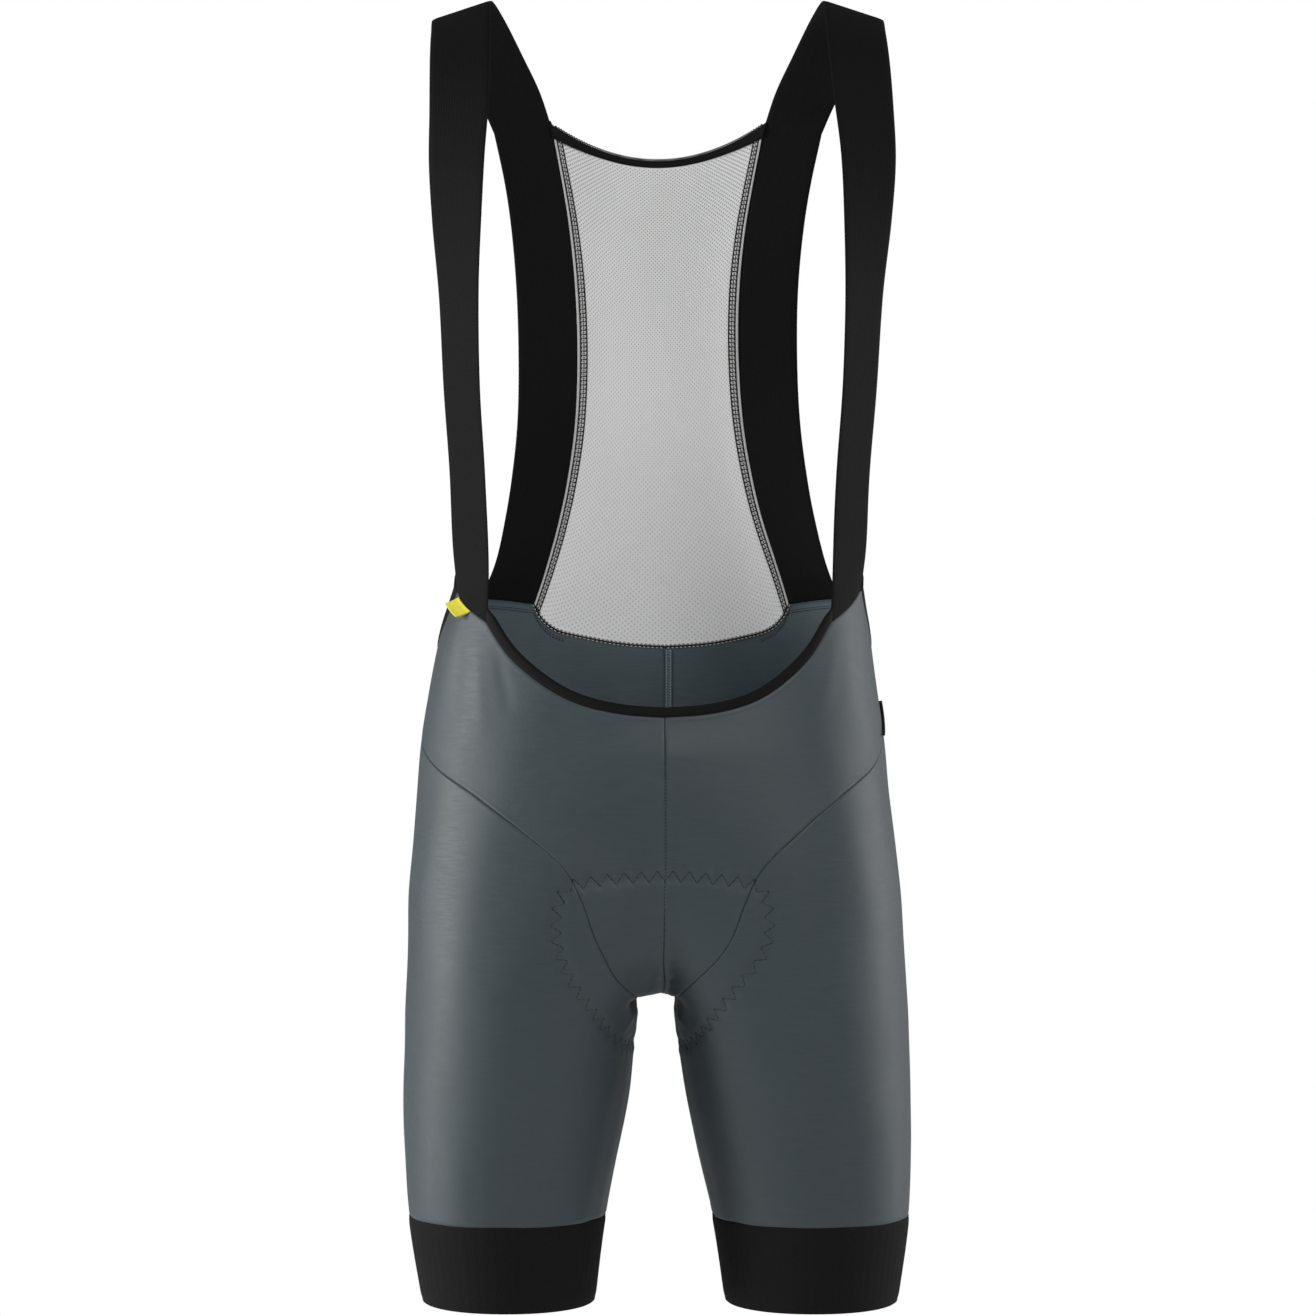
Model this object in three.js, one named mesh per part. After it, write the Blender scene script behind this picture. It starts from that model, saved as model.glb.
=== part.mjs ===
// Cycling bib shorts, filled out as when they are worn, in millimetres with +Z up and the front facing -Y.
// The cloth's outer face follows one smooth figure, given by a table of level sections from the hems to the
// waist. Each cut piece is a patch of that face, bounded by the seams it is sewn along, made into a thin wall.
// The origin lies midway between the two shoulder straps, under their crests, where the shoulders carry them.
// Left and right are as seen by someone who looks at the front. Pieces are shaped on the right and mirrored.
import * as THREE from "three";

// Cloth thicknesses and the slit left at each seam.
const WALL = 1.8;
const ELASTIC_WALL = 1.6;
const MESH_WALL = 1.4;
const GRIPPER_WALL = 2.2;
const SEAM_GAP = 0.36;
const BINDING_END_GAP = 0.7;

// Heights, measured from a level just above the hems.
const SHOULDER_HEIGHT = 898;
const GRIPPER_HEIGHT = 57;
const HEM_HEIGHT = -2;

// Widths of the elastic, the edge binding and the mesh's top trim.
const STRAP_WIDTH = 43;
const NECK_BINDING_WIDTH = 6.5;
const SIDE_BINDING_WIDTH = 4.5;
const BINDING_RAISE = 0.6;
const TRIM_WIDTH = 4.5;
const TRIM_WALL = 2.4;

// How gently the two legs' sections run together on the centre line.
const CENTRE_SOFTNESS = 12;

// How much closer the leg panel's rows lie near its upper seams, where the cloth bends most.
const LEG_CROWDING = 1.3;

// Where each level ring round a leg starts: on its inner side, under the crotch's end of the front panel.
const RING_START = Math.PI - 0.2;

// How often each panel's grid is evened out, and the length of one step on the way over the figure.
const RELAX_ROUNDS = 6;
const WALK_STEP = 4;

// How many steps each seam takes, shared by the two pieces that meet there.
const STEPS = {
  neckline: 9,
  frontRiseTop: 8,
  frontRiseMiddle: 9,
  frontRiseTip: 8,
  tip: 1,
  diagonal: 17,
  sideSeam: 4,
  frontArmhole: 4,
  backArmhole: 4,
  strapBase: 3,
  scoop: 6,
  backRise: 17,
  legLength: 16,
  gripper: 3,
  frontStrap: 22,
  backStrap: 14,
  bindingAcross: 1,
  padLength: 22,
  padHalfWidth: 5,
  tag: 3,
};

// Level sections of the figure's right half, up from the hem. centre, outer and inner are distances from the
// centre line; front and back are depths; square and round are how squared the section is on its inner and
// outer side, from 2 for an ellipse.
const SECTION_COLUMNS = ["height", "centre", "outer", "inner", "front", "back", "square", "round"];
const SECTIONS = [
  [-20, 106, 163, 48.5, 65, 59, 2.1, 2.1],
  [0, 106, 166.5, 47, 68, 62, 2.1, 2.1],
  [57, 106, 175, 39.4, 76, 70, 2.1, 2.1],
  [108, 102, 177.5, 29.2, 84, 79, 2.2, 2.1],
  [143, 98.5, 177.5, 23, 91, 87, 2.3, 2.1],
  [178, 96, 176.4, 19.5, 97, 95, 2.6, 2.1],
  [200, 95, 176, 17.6, 100, 101, 3.0, 2.1],
  [213, 93, 175.4, 12.4, 102, 107, 3.3, 2.1],
  [230, 88, 174.5, 3.5, 104, 114, 3.4, 2.15],
  [250, 80, 173.6, -9, 106, 120, 3.4, 2.2],
  [283, 65, 172.4, -27, 109, 126, 3.4, 2.25],
  [318, 45, 168.7, -38, 112, 127, 3.2, 2.3],
  [353, 24, 165, -60, 114, 121, 3.0, 2.3],
  [388, 6, 162, -90, 114, 111, 2.8, 2.3],
  [423, 0, 157, -110, 111, 101, 2.6, 2.3],
  [458, 0, 151.5, -120, 106, 94, 2.5, 2.3],
  [490, 0, 146, -120, 101, 90, 2.5, 2.3],
  [520, 0, 144, -120, 98, 88, 2.5, 2.3],
];

// Seam guides on the right half: each row is a point near the cloth, as [x, y, height].
const GUIDES = {
  neckline: [
    [0, -112, 406],
    [27, -111, 408],
    [50, -108, 412.7],
    [67, -104, 419.3],
    [84, -97, 430.2],
    [101.5, -84, 447],
    [115.5, -68, 470],
  ],
  strapFoot: [
    [115.5, -68, 470],
    [129, -51, 481],
    [141.5, -32, 495],
  ],
  frontArmhole: [
    [141.5, -32, 495],
    [147.5, -18, 473],
    [151.5, -2, 460],
    [150, 20, 456],
  ],
  backArmhole: [
    [150, 20, 456],
    [146, 32, 462],
    [138, 40, 473],
    [127, 49, 488],
  ],
  backStrapFoot: [
    [127, 49, 488],
    [111, 64, 487],
    [92, 75, 484.5],
  ],
  scoop: [
    [92, 75, 484.5],
    [87, 78, 475],
    [77, 82, 466.5],
    [53, 88, 460],
    [29, 92, 456],
    [0, 93, 454],
  ],
  sideSeam: [
    [150, 20, 456],
    [157, 10, 432],
    [161, -3, 408],
  ],
  diagonal: [
    [161, -3, 408],
    [158, -24, 388],
    [149, -47, 373.5],
    [121, -86, 351],
    [92, -101, 328],
    [66.5, -107, 304],
    [55.5, -105, 283],
    [46, -98, 256],
    [34, -84, 234],
    [22, -58, 219],
    [12, -22, 212],
    [9, 14, 212],
  ],
  frontRiseTop: [
    [0, -112, 406],
    [0, -113, 368],
  ],
  frontRiseMiddle: [
    [0, -113, 368],
    [0, -111, 325],
    [0, -104, 280],
  ],
  frontRiseTip: [
    [0, -104, 280],
    [0, -94, 255],
    [0, -75, 232],
    [0, -45, 217],
    [0, -15, 213],
    [0, 14, 213],
  ],
  backRise: [
    [0, 93, 454],
    [0, 103, 415],
    [0, 118, 370],
    [0, 125, 320],
    [0, 118, 275],
    [0, 95, 240],
    [0, 55, 218],
    [0, 14, 213],
  ],
};

// The strap's inner edge, from the shorts' front over the shoulder to the shorts' back, as [x, y, height, turn,
// fall]. turn is how far its outer edge swings back from straight out, in degrees, and fall is how much lower
// that edge lies.
const FRONT_RUN = [
  [118.5, -72, 522, 55, 0],
  [120.5, -79, 573, 55, 0],
  [124, -86, 631, 54, 0],
  [125, -92, 695, 50, 0],
  [123.3, -96, 745, 38, 1],
  [121, -97, 787, 27, 3],
  [117.5, -89, 825, 17, 6],
  [115.8, -68, 862, 7, 9],
  [116, -37, 890, 2, 12],
  [116.2, 0, 906.5, 0, 13.5],
  [109, 34, 899, 3, 13.5],
  [96.5, 61, 876, 2, 13],
  [85, 81, 853, -4, 9],
  [76.3, 95.5, 827, -13, 3],
];
const BACK_RUN = [
  [76.3, 95.5, 827, -13, 3],
  [69, 106, 788, -15, 0],
  [64.2, 111, 758, -13, 0],
  [60, 112, 716, -10, 0],
  [58.6, 108, 668, -10, 0],
  [61.2, 101, 616, -18, 0],
  [67.7, 94, 573, -25, 0],
  [74, 88, 545, -30, 0],
  [83, 81, 514, -35, 0],
];

// The mesh's top edge between the straps: how far its middle hangs below its ends, and its depth there.
const MESH_DIP = 24;
const MESH_TOP_DEPTH = 112;

// The pad sewn inside the crotch, as [share of its length from front to back, half width], and its place on
// the front and back centre seams.
const PAD_WALL = 5;
const PAD_EDGE = 1.5;
const PAD_GAP = 1.9;
const PAD_BEVEL_STEPS = 2;
const PAD_FRONT_HEIGHT = 301;
const PAD_BACK_HEIGHT = 306;
const PAD_COLUMNS = ["share", "halfWidth"];
const PAD_HALF_WIDTHS = [
  [0, 62],
  [0.04, 73],
  [0.1, 77],
  [0.15, 74],
  [0.2, 64],
  [0.26, 54],
  [0.33, 49],
  [0.45, 45],
  [0.6, 44],
  [0.75, 64],
  [0.9, 78],
  [1, 62],
];

// The folded tags: where they start on the seam that holds them and how long they are along it, how far they
// start clear of it and hang out, their thickness, and how far their free edge lifts.
const STRAP_TAG = { start: 0.34, along: 21, clear: 0.5, out: 8, thickness: 1.6, lift: 4 };
const SIDE_TAG = { start: 0.1, along: 32, clear: 0.5, out: 7, thickness: 1.4, lift: 1.2 };
const TAG_CLEARANCE = 0.35;

// How far the worn garment sits to one side: at its sides, more at its middle, and by the slight turn of the
// straps, which moves the front one way and the back the other.
const SWAY_COLUMNS = ["height", "sides", "middle", "turn"];
const SWAY = [
  [-2, 1.4, 0, 0],
  [140, -0.4, 0, 0],
  [222, -1.3, 0, 0],
  [250, -1.8, 5.5, 0],
  [300, -2.2, 7, 0],
  [380, -3.8, 8.5, 0],
  [440, -3.6, 8.5, 0],
  [475, -2.4, 7, 0],
  [505, 0, 4, 0],
  [560, 0.5, 2, 0.005],
  [700, 1, 0.5, 0.017],
  [800, 1.5, 0, 0.017],
  [907, -0.5, 0, 0],
];
const SWAY_REACH = 160;

const vector = (x, y, z) => new THREE.Vector3(x, y, z);
const mirrored = (p) => vector(-p.x, p.y, p.z);
const along = (count) => Array.from({ length: count + 1 }, (_, i) => i / count);

// The named columns of a table at a value of its first column, on smooth curves through its rows.
function tableAt(rows, columns, value) {
  let i = 0;
  while (i < rows.length - 2 && rows[i + 1][0] < value) i += 1;
  const [low, high] = [rows[i], rows[i + 1]];
  const [before, after] = [rows[i - 1] ?? low, rows[i + 2] ?? high];
  const span = high[0] - low[0];
  const t = (value - low[0]) / span;
  const slope = (a, b, k) => (b[k] - a[k]) / (b[0] - a[0]);
  const found = {};
  columns.forEach((name, k) => {
    const [start, end] = [slope(before, high, k) * span, slope(low, after, k) * span];
    const blend = (2 * t - 3) * t * t;
    found[name] = (1 + blend) * low[k] - blend * high[k];
    found[name] += (t - 1) ** 2 * t * start + (t - 1) * t * t * end;
  });
  return found;
}

const sectionAt = (height) => tableAt(SECTIONS, SECTION_COLUMNS, height);

// A point of the level, even garment where the worn one has it.
function swayed(p) {
  const { sides, middle, turn } = tableAt(SWAY, SWAY_COLUMNS, p.z);
  const inwards = Math.max(0, 1 - (p.x / SWAY_REACH) ** 2);
  return vector(p.x + sides + middle * inwards - turn * p.y, p.y, p.z);
}

// About how far a point lies outside the cloth's outer face: 0 on it and negative inside.
function figure(p) {
  const s = sectionAt(p.z);
  const x = Math.hypot(p.x, CENTRE_SOFTNESS);
  const isOuter = x > s.centre;
  const wide = isOuter ? s.outer - s.centre : s.centre - s.inner;
  const power = isOuter ? s.round : s.square;
  const across = Math.abs(x - s.centre) / wide;
  const deep = Math.abs(p.y) / (p.y < 0 ? s.front : s.back);
  return ((across ** power + deep ** power) ** (1 / power) - 1) * Math.min(wide, s.front);
}

function gradient(p) {
  const step = 0.05;
  const slope = (x, y, z) => {
    const offset = vector(x, y, z).multiplyScalar(step);
    return (figure(p.clone().add(offset)) - figure(p.clone().sub(offset))) / (2 * step);
  };
  return vector(slope(1, 0, 0), slope(0, 1, 0), slope(0, 0, 1));
}

const normalAt = (p) => gradient(p).normalize();

// The point of the cloth's face near p.
function onFigure(p, rounds = 12) {
  const q = p.clone();
  for (let i = 0; i < rounds; i += 1) {
    const g = gradient(q);
    q.addScaledVector(g, -figure(q) / g.lengthSq());
  }
  return q;
}

// count + 1 points evenly along a polyline.
function spread(points, count) {
  const lengths = [0];
  points.slice(1).forEach((p, i) => lengths.push(lengths[i] + p.distanceTo(points[i])));
  const total = lengths[lengths.length - 1];
  let i = 0;
  return along(count).map((share) => {
    const wanted = share * total;
    while (i < points.length - 2 && lengths[i + 1] < wanted) i += 1;
    const t = (wanted - lengths[i]) / (lengths[i + 1] - lengths[i]);
    return points[i].clone().lerp(points[i + 1], t);
  });
}

// A seam: a smooth curve near its guide points, laid on the figure and divided evenly.
function seam(guides, count) {
  const curve = new THREE.CatmullRomCurve3(guides.map((g) => vector(...g)), false, "centripetal");
  const dense = curve.getPoints(12 * count + 40).map((p) => onFigure(p));
  return spread(dense, count).map((p) => onFigure(p));
}

const reversed = (points) => [...points].reverse();
const joined = (...runs) => runs.reduce((all, run) => all.concat(run.slice(1)));

// A grid of points with four edges: straight across from left to right, and bent like the top and the bottom
// edge near them.
function fillPatch(top, bottom, left, right) {
  const [nu, nv] = [top.length - 1, left.length - 1];
  return along(nv).map((v, j) =>
    along(nu).map((u, i) => {
      const p = left[j].clone().lerp(right[j], u);
      p.add(top[i].clone().sub(top[0].clone().lerp(top[nu], u)).multiplyScalar((1 - v) ** 3));
      return p.add(bottom[i].clone().sub(bottom[0].clone().lerp(bottom[nu], u)).multiplyScalar(v ** 3));
    }),
  );
}

// Evens out a grid on the figure, leaving its edges where they are. A closed grid's last column is its first.
function relax(grid, closed) {
  const [rows, columns] = [grid.length, grid[0].length];
  let now = grid.map((row) => row.map((p) => onFigure(p)));
  [0, rows - 1].forEach((j) => { now[j] = grid[j].map((p) => p.clone()); });
  if (!closed) grid.forEach((row, j) => [0, columns - 1].forEach((i) => { now[j][i] = row[i].clone(); }));
  const column = (i) => (closed ? (i + columns - 1) % (columns - 1) : i);
  for (let round = 0; round < RELAX_ROUNDS; round += 1) {
    const next = now.map((row) => [...row]);
    for (let j = 1; j < rows - 1; j += 1) {
      for (let i = closed ? 0 : 1; i < columns - 1; i += 1) {
        const sum = vector(0, 0, 0).add(now[j - 1][i]).add(now[j + 1][i]);
        sum.add(now[j][column(i - 1)]).add(now[j][column(i + 1)]);
        next[j][i] = onFigure(sum.multiplyScalar(0.25), 3);
      }
      if (closed) next[j][columns - 1] = next[j][0];
    }
    now = next;
  }
  return now;
}

// Draws a grid's edges in by half a seam gap, square to each edge.
function insetEdges(grid, closed, endInset = SEAM_GAP / 2) {
  const [rows, columns] = [grid.length, grid[0].length];
  const shift = grid.map((row) => row.map(() => vector(0, 0, 0)));
  const pull = (j, i, inner, before, after, distance = SEAM_GAP / 2) => {
    const tangent = after.clone().sub(before).normalize();
    const inwards = inner.clone().sub(grid[j][i]);
    inwards.addScaledVector(tangent, -inwards.dot(tangent)).normalize();
    shift[j][i].addScaledVector(inwards, distance);
  };
  for (let i = 0; i < columns; i += 1) {
    const [before, after] = closed
      ? [(i + columns - 2) % (columns - 1), (i + 1) % (columns - 1)]
      : [Math.max(i - 1, 0), Math.min(i + 1, columns - 1)];
    pull(0, i, grid[1][i], grid[0][before], grid[0][after]);
    pull(rows - 1, i, grid[rows - 2][i], grid[rows - 1][before], grid[rows - 1][after]);
  }
  if (!closed) {
    for (let j = 0; j < rows; j += 1) {
      const [before, after] = [Math.max(j - 1, 0), Math.min(j + 1, rows - 1)];
      const last = columns - 1;
      pull(j, 0, grid[j][1], grid[before][0], grid[after][0], endInset);
      pull(j, last, grid[j][last - 1], grid[before][last], grid[after][last], endInset);
    }
  }
  return grid.map((row, j) => row.map((p, i) => p.clone().add(shift[j][i])));
}

// Unit normals of a grid that leaves the figure. Rows run up the front and down the back, columns outwards.
function gridNormals(grid) {
  const [rows, columns] = [grid.length, grid[0].length];
  return grid.map((row, j) =>
    row.map((p, i) => {
      const across = row[Math.min(i + 1, columns - 1)].clone().sub(row[Math.max(i - 1, 0)]);
      const onwards = grid[Math.min(j + 1, rows - 1)][i].clone().sub(grid[Math.max(j - 1, 0)][i]);
      return across.cross(onwards).normalize();
    }),
  );
}

// A closed wall about a grid of points: an outer face, an inner face and the rims that join them. outer and
// inner are the faces' distances from the grid, along its normals.
function wall(grid, normals, { outer = 0, inner, closed = false, mirror = false }) {
  const innerAt = typeof inner === "number" ? () => inner : inner;
  const [rows, columns] = [grid.length, grid[0].length - (closed ? 1 : 0)];
  const positions = [];
  const place = (p) => positions.push(...swayed(mirror ? mirrored(p) : p));
  for (const isInner of [false, true]) {
    for (let j = 0; j < rows; j += 1) {
      for (let i = 0; i < columns; i += 1) {
        const height = isInner ? innerAt(j, i) : outer;
        place(grid[j][i].clone().addScaledVector(normals[j][i], height));
      }
    }
  }
  const at = (j, i, isInner) => (isInner ? rows * columns : 0) + j * columns + (i % columns);
  const faces = [];
  const quad = (a, b, c, d) => faces.push([a, b, c], [a, c, d]);
  const last = closed ? columns : columns - 1;
  for (let j = 0; j < rows - 1; j += 1) {
    for (let i = 0; i < last; i += 1) {
      quad(at(j, i), at(j + 1, i), at(j + 1, i + 1), at(j, i + 1));
      quad(at(j, i, true), at(j, i + 1, true), at(j + 1, i + 1, true), at(j + 1, i, true));
    }
  }
  for (let i = 0; i < last; i += 1) {
    quad(at(0, i), at(0, i + 1), at(0, i + 1, true), at(0, i, true));
    quad(at(rows - 1, i, true), at(rows - 1, i + 1, true), at(rows - 1, i + 1), at(rows - 1, i));
  }
  if (!closed) {
    for (let j = 0; j < rows - 1; j += 1) {
      quad(at(j, 0, true), at(j + 1, 0, true), at(j + 1, 0), at(j, 0));
      quad(at(j, last), at(j + 1, last), at(j + 1, last, true), at(j, last, true));
    }
  }
  return facingOut(positions, faces);
}

// A geometry from points and triangles, turned so that its faces point out.
function facingOut(positions, faces) {
  const p = (i) => vector(positions[3 * i], positions[3 * i + 1], positions[3 * i + 2]);
  const volume = faces.reduce((sum, [a, b, c]) => sum + p(a).dot(p(b).cross(p(c))), 0);
  const index = (volume < 0 ? faces.map(([a, b, c]) => [a, c, b]) : faces).flat();
  const geometry = new THREE.BufferGeometry();
  geometry.setAttribute("position", new THREE.Float32BufferAttribute(positions, 3));
  geometry.setIndex(index);
  geometry.computeVertexNormals();
  return geometry;
}

// The seams of the right half.
const neckline = seam(GUIDES.neckline, STEPS.neckline);
const strapFoot = seam(GUIDES.strapFoot, STEPS.strapBase);
const frontArmhole = seam(GUIDES.frontArmhole, STEPS.frontArmhole);
const backArmhole = seam(GUIDES.backArmhole, STEPS.backArmhole);
const backStrapFoot = seam(GUIDES.backStrapFoot, STEPS.strapBase);
const scoop = seam(GUIDES.scoop, STEPS.scoop);
const sideSeam = seam(GUIDES.sideSeam, STEPS.sideSeam);
const diagonal = seam(GUIDES.diagonal, STEPS.diagonal);
const frontRise = joined(
  ...["frontRiseTop", "frontRiseMiddle", "frontRiseTip"].map((name) => seam(GUIDES[name], STEPS[name])),
);
const backRise = seam(GUIDES.backRise, STEPS.backRise);

// Neighbouring seams share their end points exactly.
const linked = [neckline, strapFoot, frontArmhole, backArmhole, backStrapFoot, scoop, backRise];
linked.slice(1).forEach((run, i) => { run[0] = linked[i][linked[i].length - 1]; });
sideSeam[0] = backArmhole[0];
diagonal[0] = sideSeam[sideSeam.length - 1];
frontRise[0] = neckline[0];
frontRise[frontRise.length - 1] = backRise[backRise.length - 1];

// The front panel: from the front seam out to the side, from the neckline down to the crotch.
function frontPanel() {
  const top = joined(neckline, strapFoot);
  const right = joined(frontArmhole, sideSeam, diagonal);
  const left = frontRise;
  const tip = [left[left.length - 1], right[right.length - 1]];
  return relax(fillPatch(top, spread(tip, top.length - 1), left, right), false);
}

// The leg panel: a tube round the thigh that runs up the hip and the seat to the waist.
function legPanel() {
  const tip = spread([backRise[backRise.length - 1], diagonal[diagonal.length - 1]], STEPS.tip);
  const top = joined(
    tip, reversed(diagonal), reversed(sideSeam), backArmhole, backStrapFoot, scoop, backRise,
  );
  const rim = legRing(GRIPPER_HEIGHT, top.length - 1);
  const shares = along(STEPS.legLength).map((v) => v ** LEG_CROWDING);
  const rows = shares.map((v) => top.map((p, i) => p.clone().lerp(rim[i], v)));
  return relax(rows, true);
}

// A level ring round the leg, starting on its inner side and running by the front.
function legRing(height, count) {
  const { centre, front } = sectionAt(height);
  const dense = along(240).map((share) => {
    const angle = RING_START + 2 * Math.PI * share;
    return onFigure(vector(centre + front * Math.cos(angle), front * Math.sin(angle), height));
  });
  return spread(dense, count).map((p) => onFigure(p)).map((p) => p.setZ(height));
}

// The two edges of the strap at a row of its table.
function strapEdges([x, y, height, turn, fall]) {
  const angle = THREE.MathUtils.degToRad(turn);
  const reach = Math.sqrt(STRAP_WIDTH ** 2 - fall ** 2);
  const inner = vector(x, y, height);
  return [inner, inner.clone().add(vector(reach * Math.cos(angle), reach * Math.sin(angle), -fall))];
}

// Rows of points across the strap, through its edges' points.
function strapRun(edgePairs, count) {
  const curves = [0, 1].map((side) => {
    const points = edgePairs.map((pair) => pair[side]);
    return new THREE.CatmullRomCurve3(points, false, "centripetal");
  });
  return along(count).map((share) => {
    const [inner, outer] = curves.map((curve) => curve.getPoint(share));
    return along(STEPS.strapBase).map((t) => inner.clone().lerp(outer, t));
  });
}

// The strap: from its foot on the shorts' front, over the shoulder, to its foot on their back.
function strapGrid() {
  const [frontFoot, backFoot] = [strapFoot, reversed(backStrapFoot)];
  const corners = (foot) => [foot[0], foot[foot.length - 1]];
  const frontRows = strapRun([corners(frontFoot), ...FRONT_RUN.map(strapEdges)], STEPS.frontStrap);
  const backRows = strapRun([...BACK_RUN.map(strapEdges), corners(backFoot)], STEPS.backStrap);
  frontRows[0] = frontFoot;
  backRows[STEPS.backStrap] = backFoot;
  return joined(frontRows, backRows);
}

// A run of points from the centre line outwards, carried on to the left: from the left end to the right end.
const bothSides = (points) => reversed(points).map(mirrored).concat(points.slice(1));

// The mesh panel between the straps, from its top edge down to the scoop of the shorts' back.
function meshGrid(strap) {
  const right = strap.slice(STEPS.frontStrap).map((row) => row[0]);
  const left = right.map(mirrored);
  const bottom = bothSides(reversed(scoop));
  const corner = right[0];
  const top = along(bottom.length - 1).map((share) => {
    const out = 2 * share - 1;
    const depth = MESH_TOP_DEPTH + (corner.y - MESH_TOP_DEPTH) * out * out;
    return vector(corner.x * out, depth, corner.z - MESH_DIP * (1 - out * out));
  });
  return fillPatch(top, bottom, left, right);
}

// A strip of the given width beside an edge, whose ends lie along the strap edges that it runs into.
function stripGrid(edge, width, sideways, startTowards, endTowards) {
  const last = edge.length - 1;
  const outer = edge.map((p, i) => {
    const tangent = edge[Math.min(i + 1, last)].clone().sub(edge[Math.max(i - 1, 0)]).normalize();
    return p.clone().addScaledVector(sideways(p, tangent), width);
  });
  const meet = (p, target, neighbour) => {
    const tangent = neighbour.clone().sub(p).normalize();
    const edgeDirection = target.clone().sub(p).normalize();
    const sine = Math.sqrt(1 - tangent.dot(edgeDirection) ** 2);
    return p.clone().addScaledVector(edgeDirection, width / sine);
  };
  outer[0] = meet(edge[0], startTowards, edge[1]);
  outer[last] = meet(edge[last], endTowards, edge[last - 1]);
  return along(STEPS.bindingAcross).map((t) => outer.map((p, i) => p.clone().lerp(edge[i], t)));
}

// The point reached by walking a distance over the figure.
function walk(start, direction, distance) {
  const steps = Math.max(1, Math.round(distance / WALK_STEP));
  let p = start.clone();
  let heading = direction.clone();
  for (let i = 0; i < steps; i += 1) {
    const n = normalAt(p);
    heading.addScaledVector(n, -heading.dot(n)).normalize();
    p = onFigure(p.addScaledVector(heading, distance / steps), 4);
  }
  return p;
}

// The pad: rows across the centre seam, from its front edge under the crotch to its back edge.
function padGrid() {
  const below = (height) => (p) => p.z <= height;
  const line = frontRise.filter(below(PAD_FRONT_HEIGHT)).concat(
    reversed(backRise.filter(below(PAD_BACK_HEIGHT))).slice(1),
  );
  const rows = spread(line, STEPS.padLength).map((p) => onFigure(p));
  return rows.map((middle, j) => {
    const { halfWidth } = tableAt(PAD_HALF_WIDTHS, PAD_COLUMNS, j / STEPS.padLength);
    const half = along(STEPS.padHalfWidth).map((t) => walk(middle, vector(1, 0, 0), halfWidth * t));
    half[0] = middle.clone();
    return bothSides(half);
  });
}

// A folded tag sewn into a seam, lifting from the cloth as it hangs out.
function tagGrid(seamPoints, tag, outwards) {
  const curve = new THREE.CatmullRomCurve3(seamPoints);
  const share = tag.along / curve.getLength();
  const root = along(STEPS.tag).map((t) => onFigure(curve.getPointAt(tag.start + t * share)));
  return along(STEPS.tag).map((t) =>
    root.map((p) => {
      const q = walk(p, outwards, tag.clear + tag.out * t);
      return q.addScaledVector(normalAt(q), TAG_CLEARANCE + tag.thickness + tag.lift * t * t);
    }),
  );
}

// The pad's solid: its outer face lies inside the panels and its inner face swells between its edges.
function padSolid(grid) {
  const [rows, columns] = [grid.length - 1, grid[0].length - 1];
  const normals = grid.map((row) => row.map((p) => normalAt(p).negate()));
  const depth = WALL + PAD_GAP;
  const seated = grid.map((row, j) => row.map((p, i) => p.clone().addScaledVector(normals[j][i], depth)));
  const swell = (j, i) => {
    const fromEdge = Math.min(Math.min(i, columns - i), Math.min(j, rows - j)) / PAD_BEVEL_STEPS;
    return THREE.MathUtils.lerp(PAD_EDGE, PAD_WALL, THREE.MathUtils.smoothstep(fromEdge, 0, 1));
  };
  return wall(seated, normals, { inner: swell });
}

function tagSolid(grid, tag, mirror) {
  const normals = grid.map((row) => row.map((p) => normalAt(p)));
  return wall(grid, normals, { inner: -tag.thickness, mirror });
}

const cloth = (name, color, roughness) => {
  return new THREE.MeshStandardMaterial({ name, color, roughness, metalness: 0 });
};
const materials = {
  body: cloth("body_knit", 0x49545a, 0.55),
  elastic: cloth("elastic", 0x1c1c1d, 0.85),
  gripper: cloth("gripper", 0x191919, 0.8),
  mesh: cloth("mesh", 0xc8c8c8, 0.9),
  binding: cloth("binding", 0x1a1a1b, 0.75),
  pad: cloth("pad", 0x3a3d40, 0.95),
  strapTag: cloth("strap_tag", 0xe8dc32, 0.7),
  sideTag: cloth("side_tag", 0x202020, 0.7),
};

// Everything is measured up from the hems, so the group is lowered to put the origin under the straps.
const garment = new THREE.Group();
const group = new THREE.Group();
group.position.z = -SHOULDER_HEIGHT;
garment.add(group);

function addPiece(name, material, geometry) {
  const mesh = new THREE.Mesh(geometry, material);
  mesh.name = name;
  group.add(mesh);
}

function addOnFigure(name, material, grid, options) {
  const drawn = insetEdges(grid, options.closed, options.endInset);
  const normals = drawn.map((row) => row.map((p) => normalAt(p)));
  addPiece(name, material, wall(drawn, normals, options));
}

function addFree(name, material, grid, normals, options) {
  addPiece(name, material, wall(insetEdges(grid, false, options.endInset), normals, options));
}

function gripperGrid(columns) {
  const heights = along(STEPS.gripper).map((t) => THREE.MathUtils.lerp(GRIPPER_HEIGHT, HEM_HEIGHT, t));
  return heights.map((height) => legRing(height, columns));
}

const front = frontPanel();
const leg = legPanel();
const gripper = gripperGrid(leg[0].length - 1);
const strap = strapGrid();
const mesh = meshGrid(strap);

// On the cloth, the direction square to an edge that runs away from the centre line.
const uphill = (p, tangent) => normalAt(p).cross(tangent).normalize();
const fullNeckline = bothSides(neckline);
const strapInner = strap[1][0];
const neckBinding = stripGrid(fullNeckline, NECK_BINDING_WIDTH, uphill, mirrored(strapInner), strapInner);
const armhole = joined(frontArmhole, backArmhole);
const strapOuter = [strap[1][STEPS.strapBase], strap[strap.length - 2][STEPS.strapBase]];
const sideBinding = stripGrid(armhole, SIDE_BINDING_WIDTH, uphill, ...strapOuter);

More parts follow.
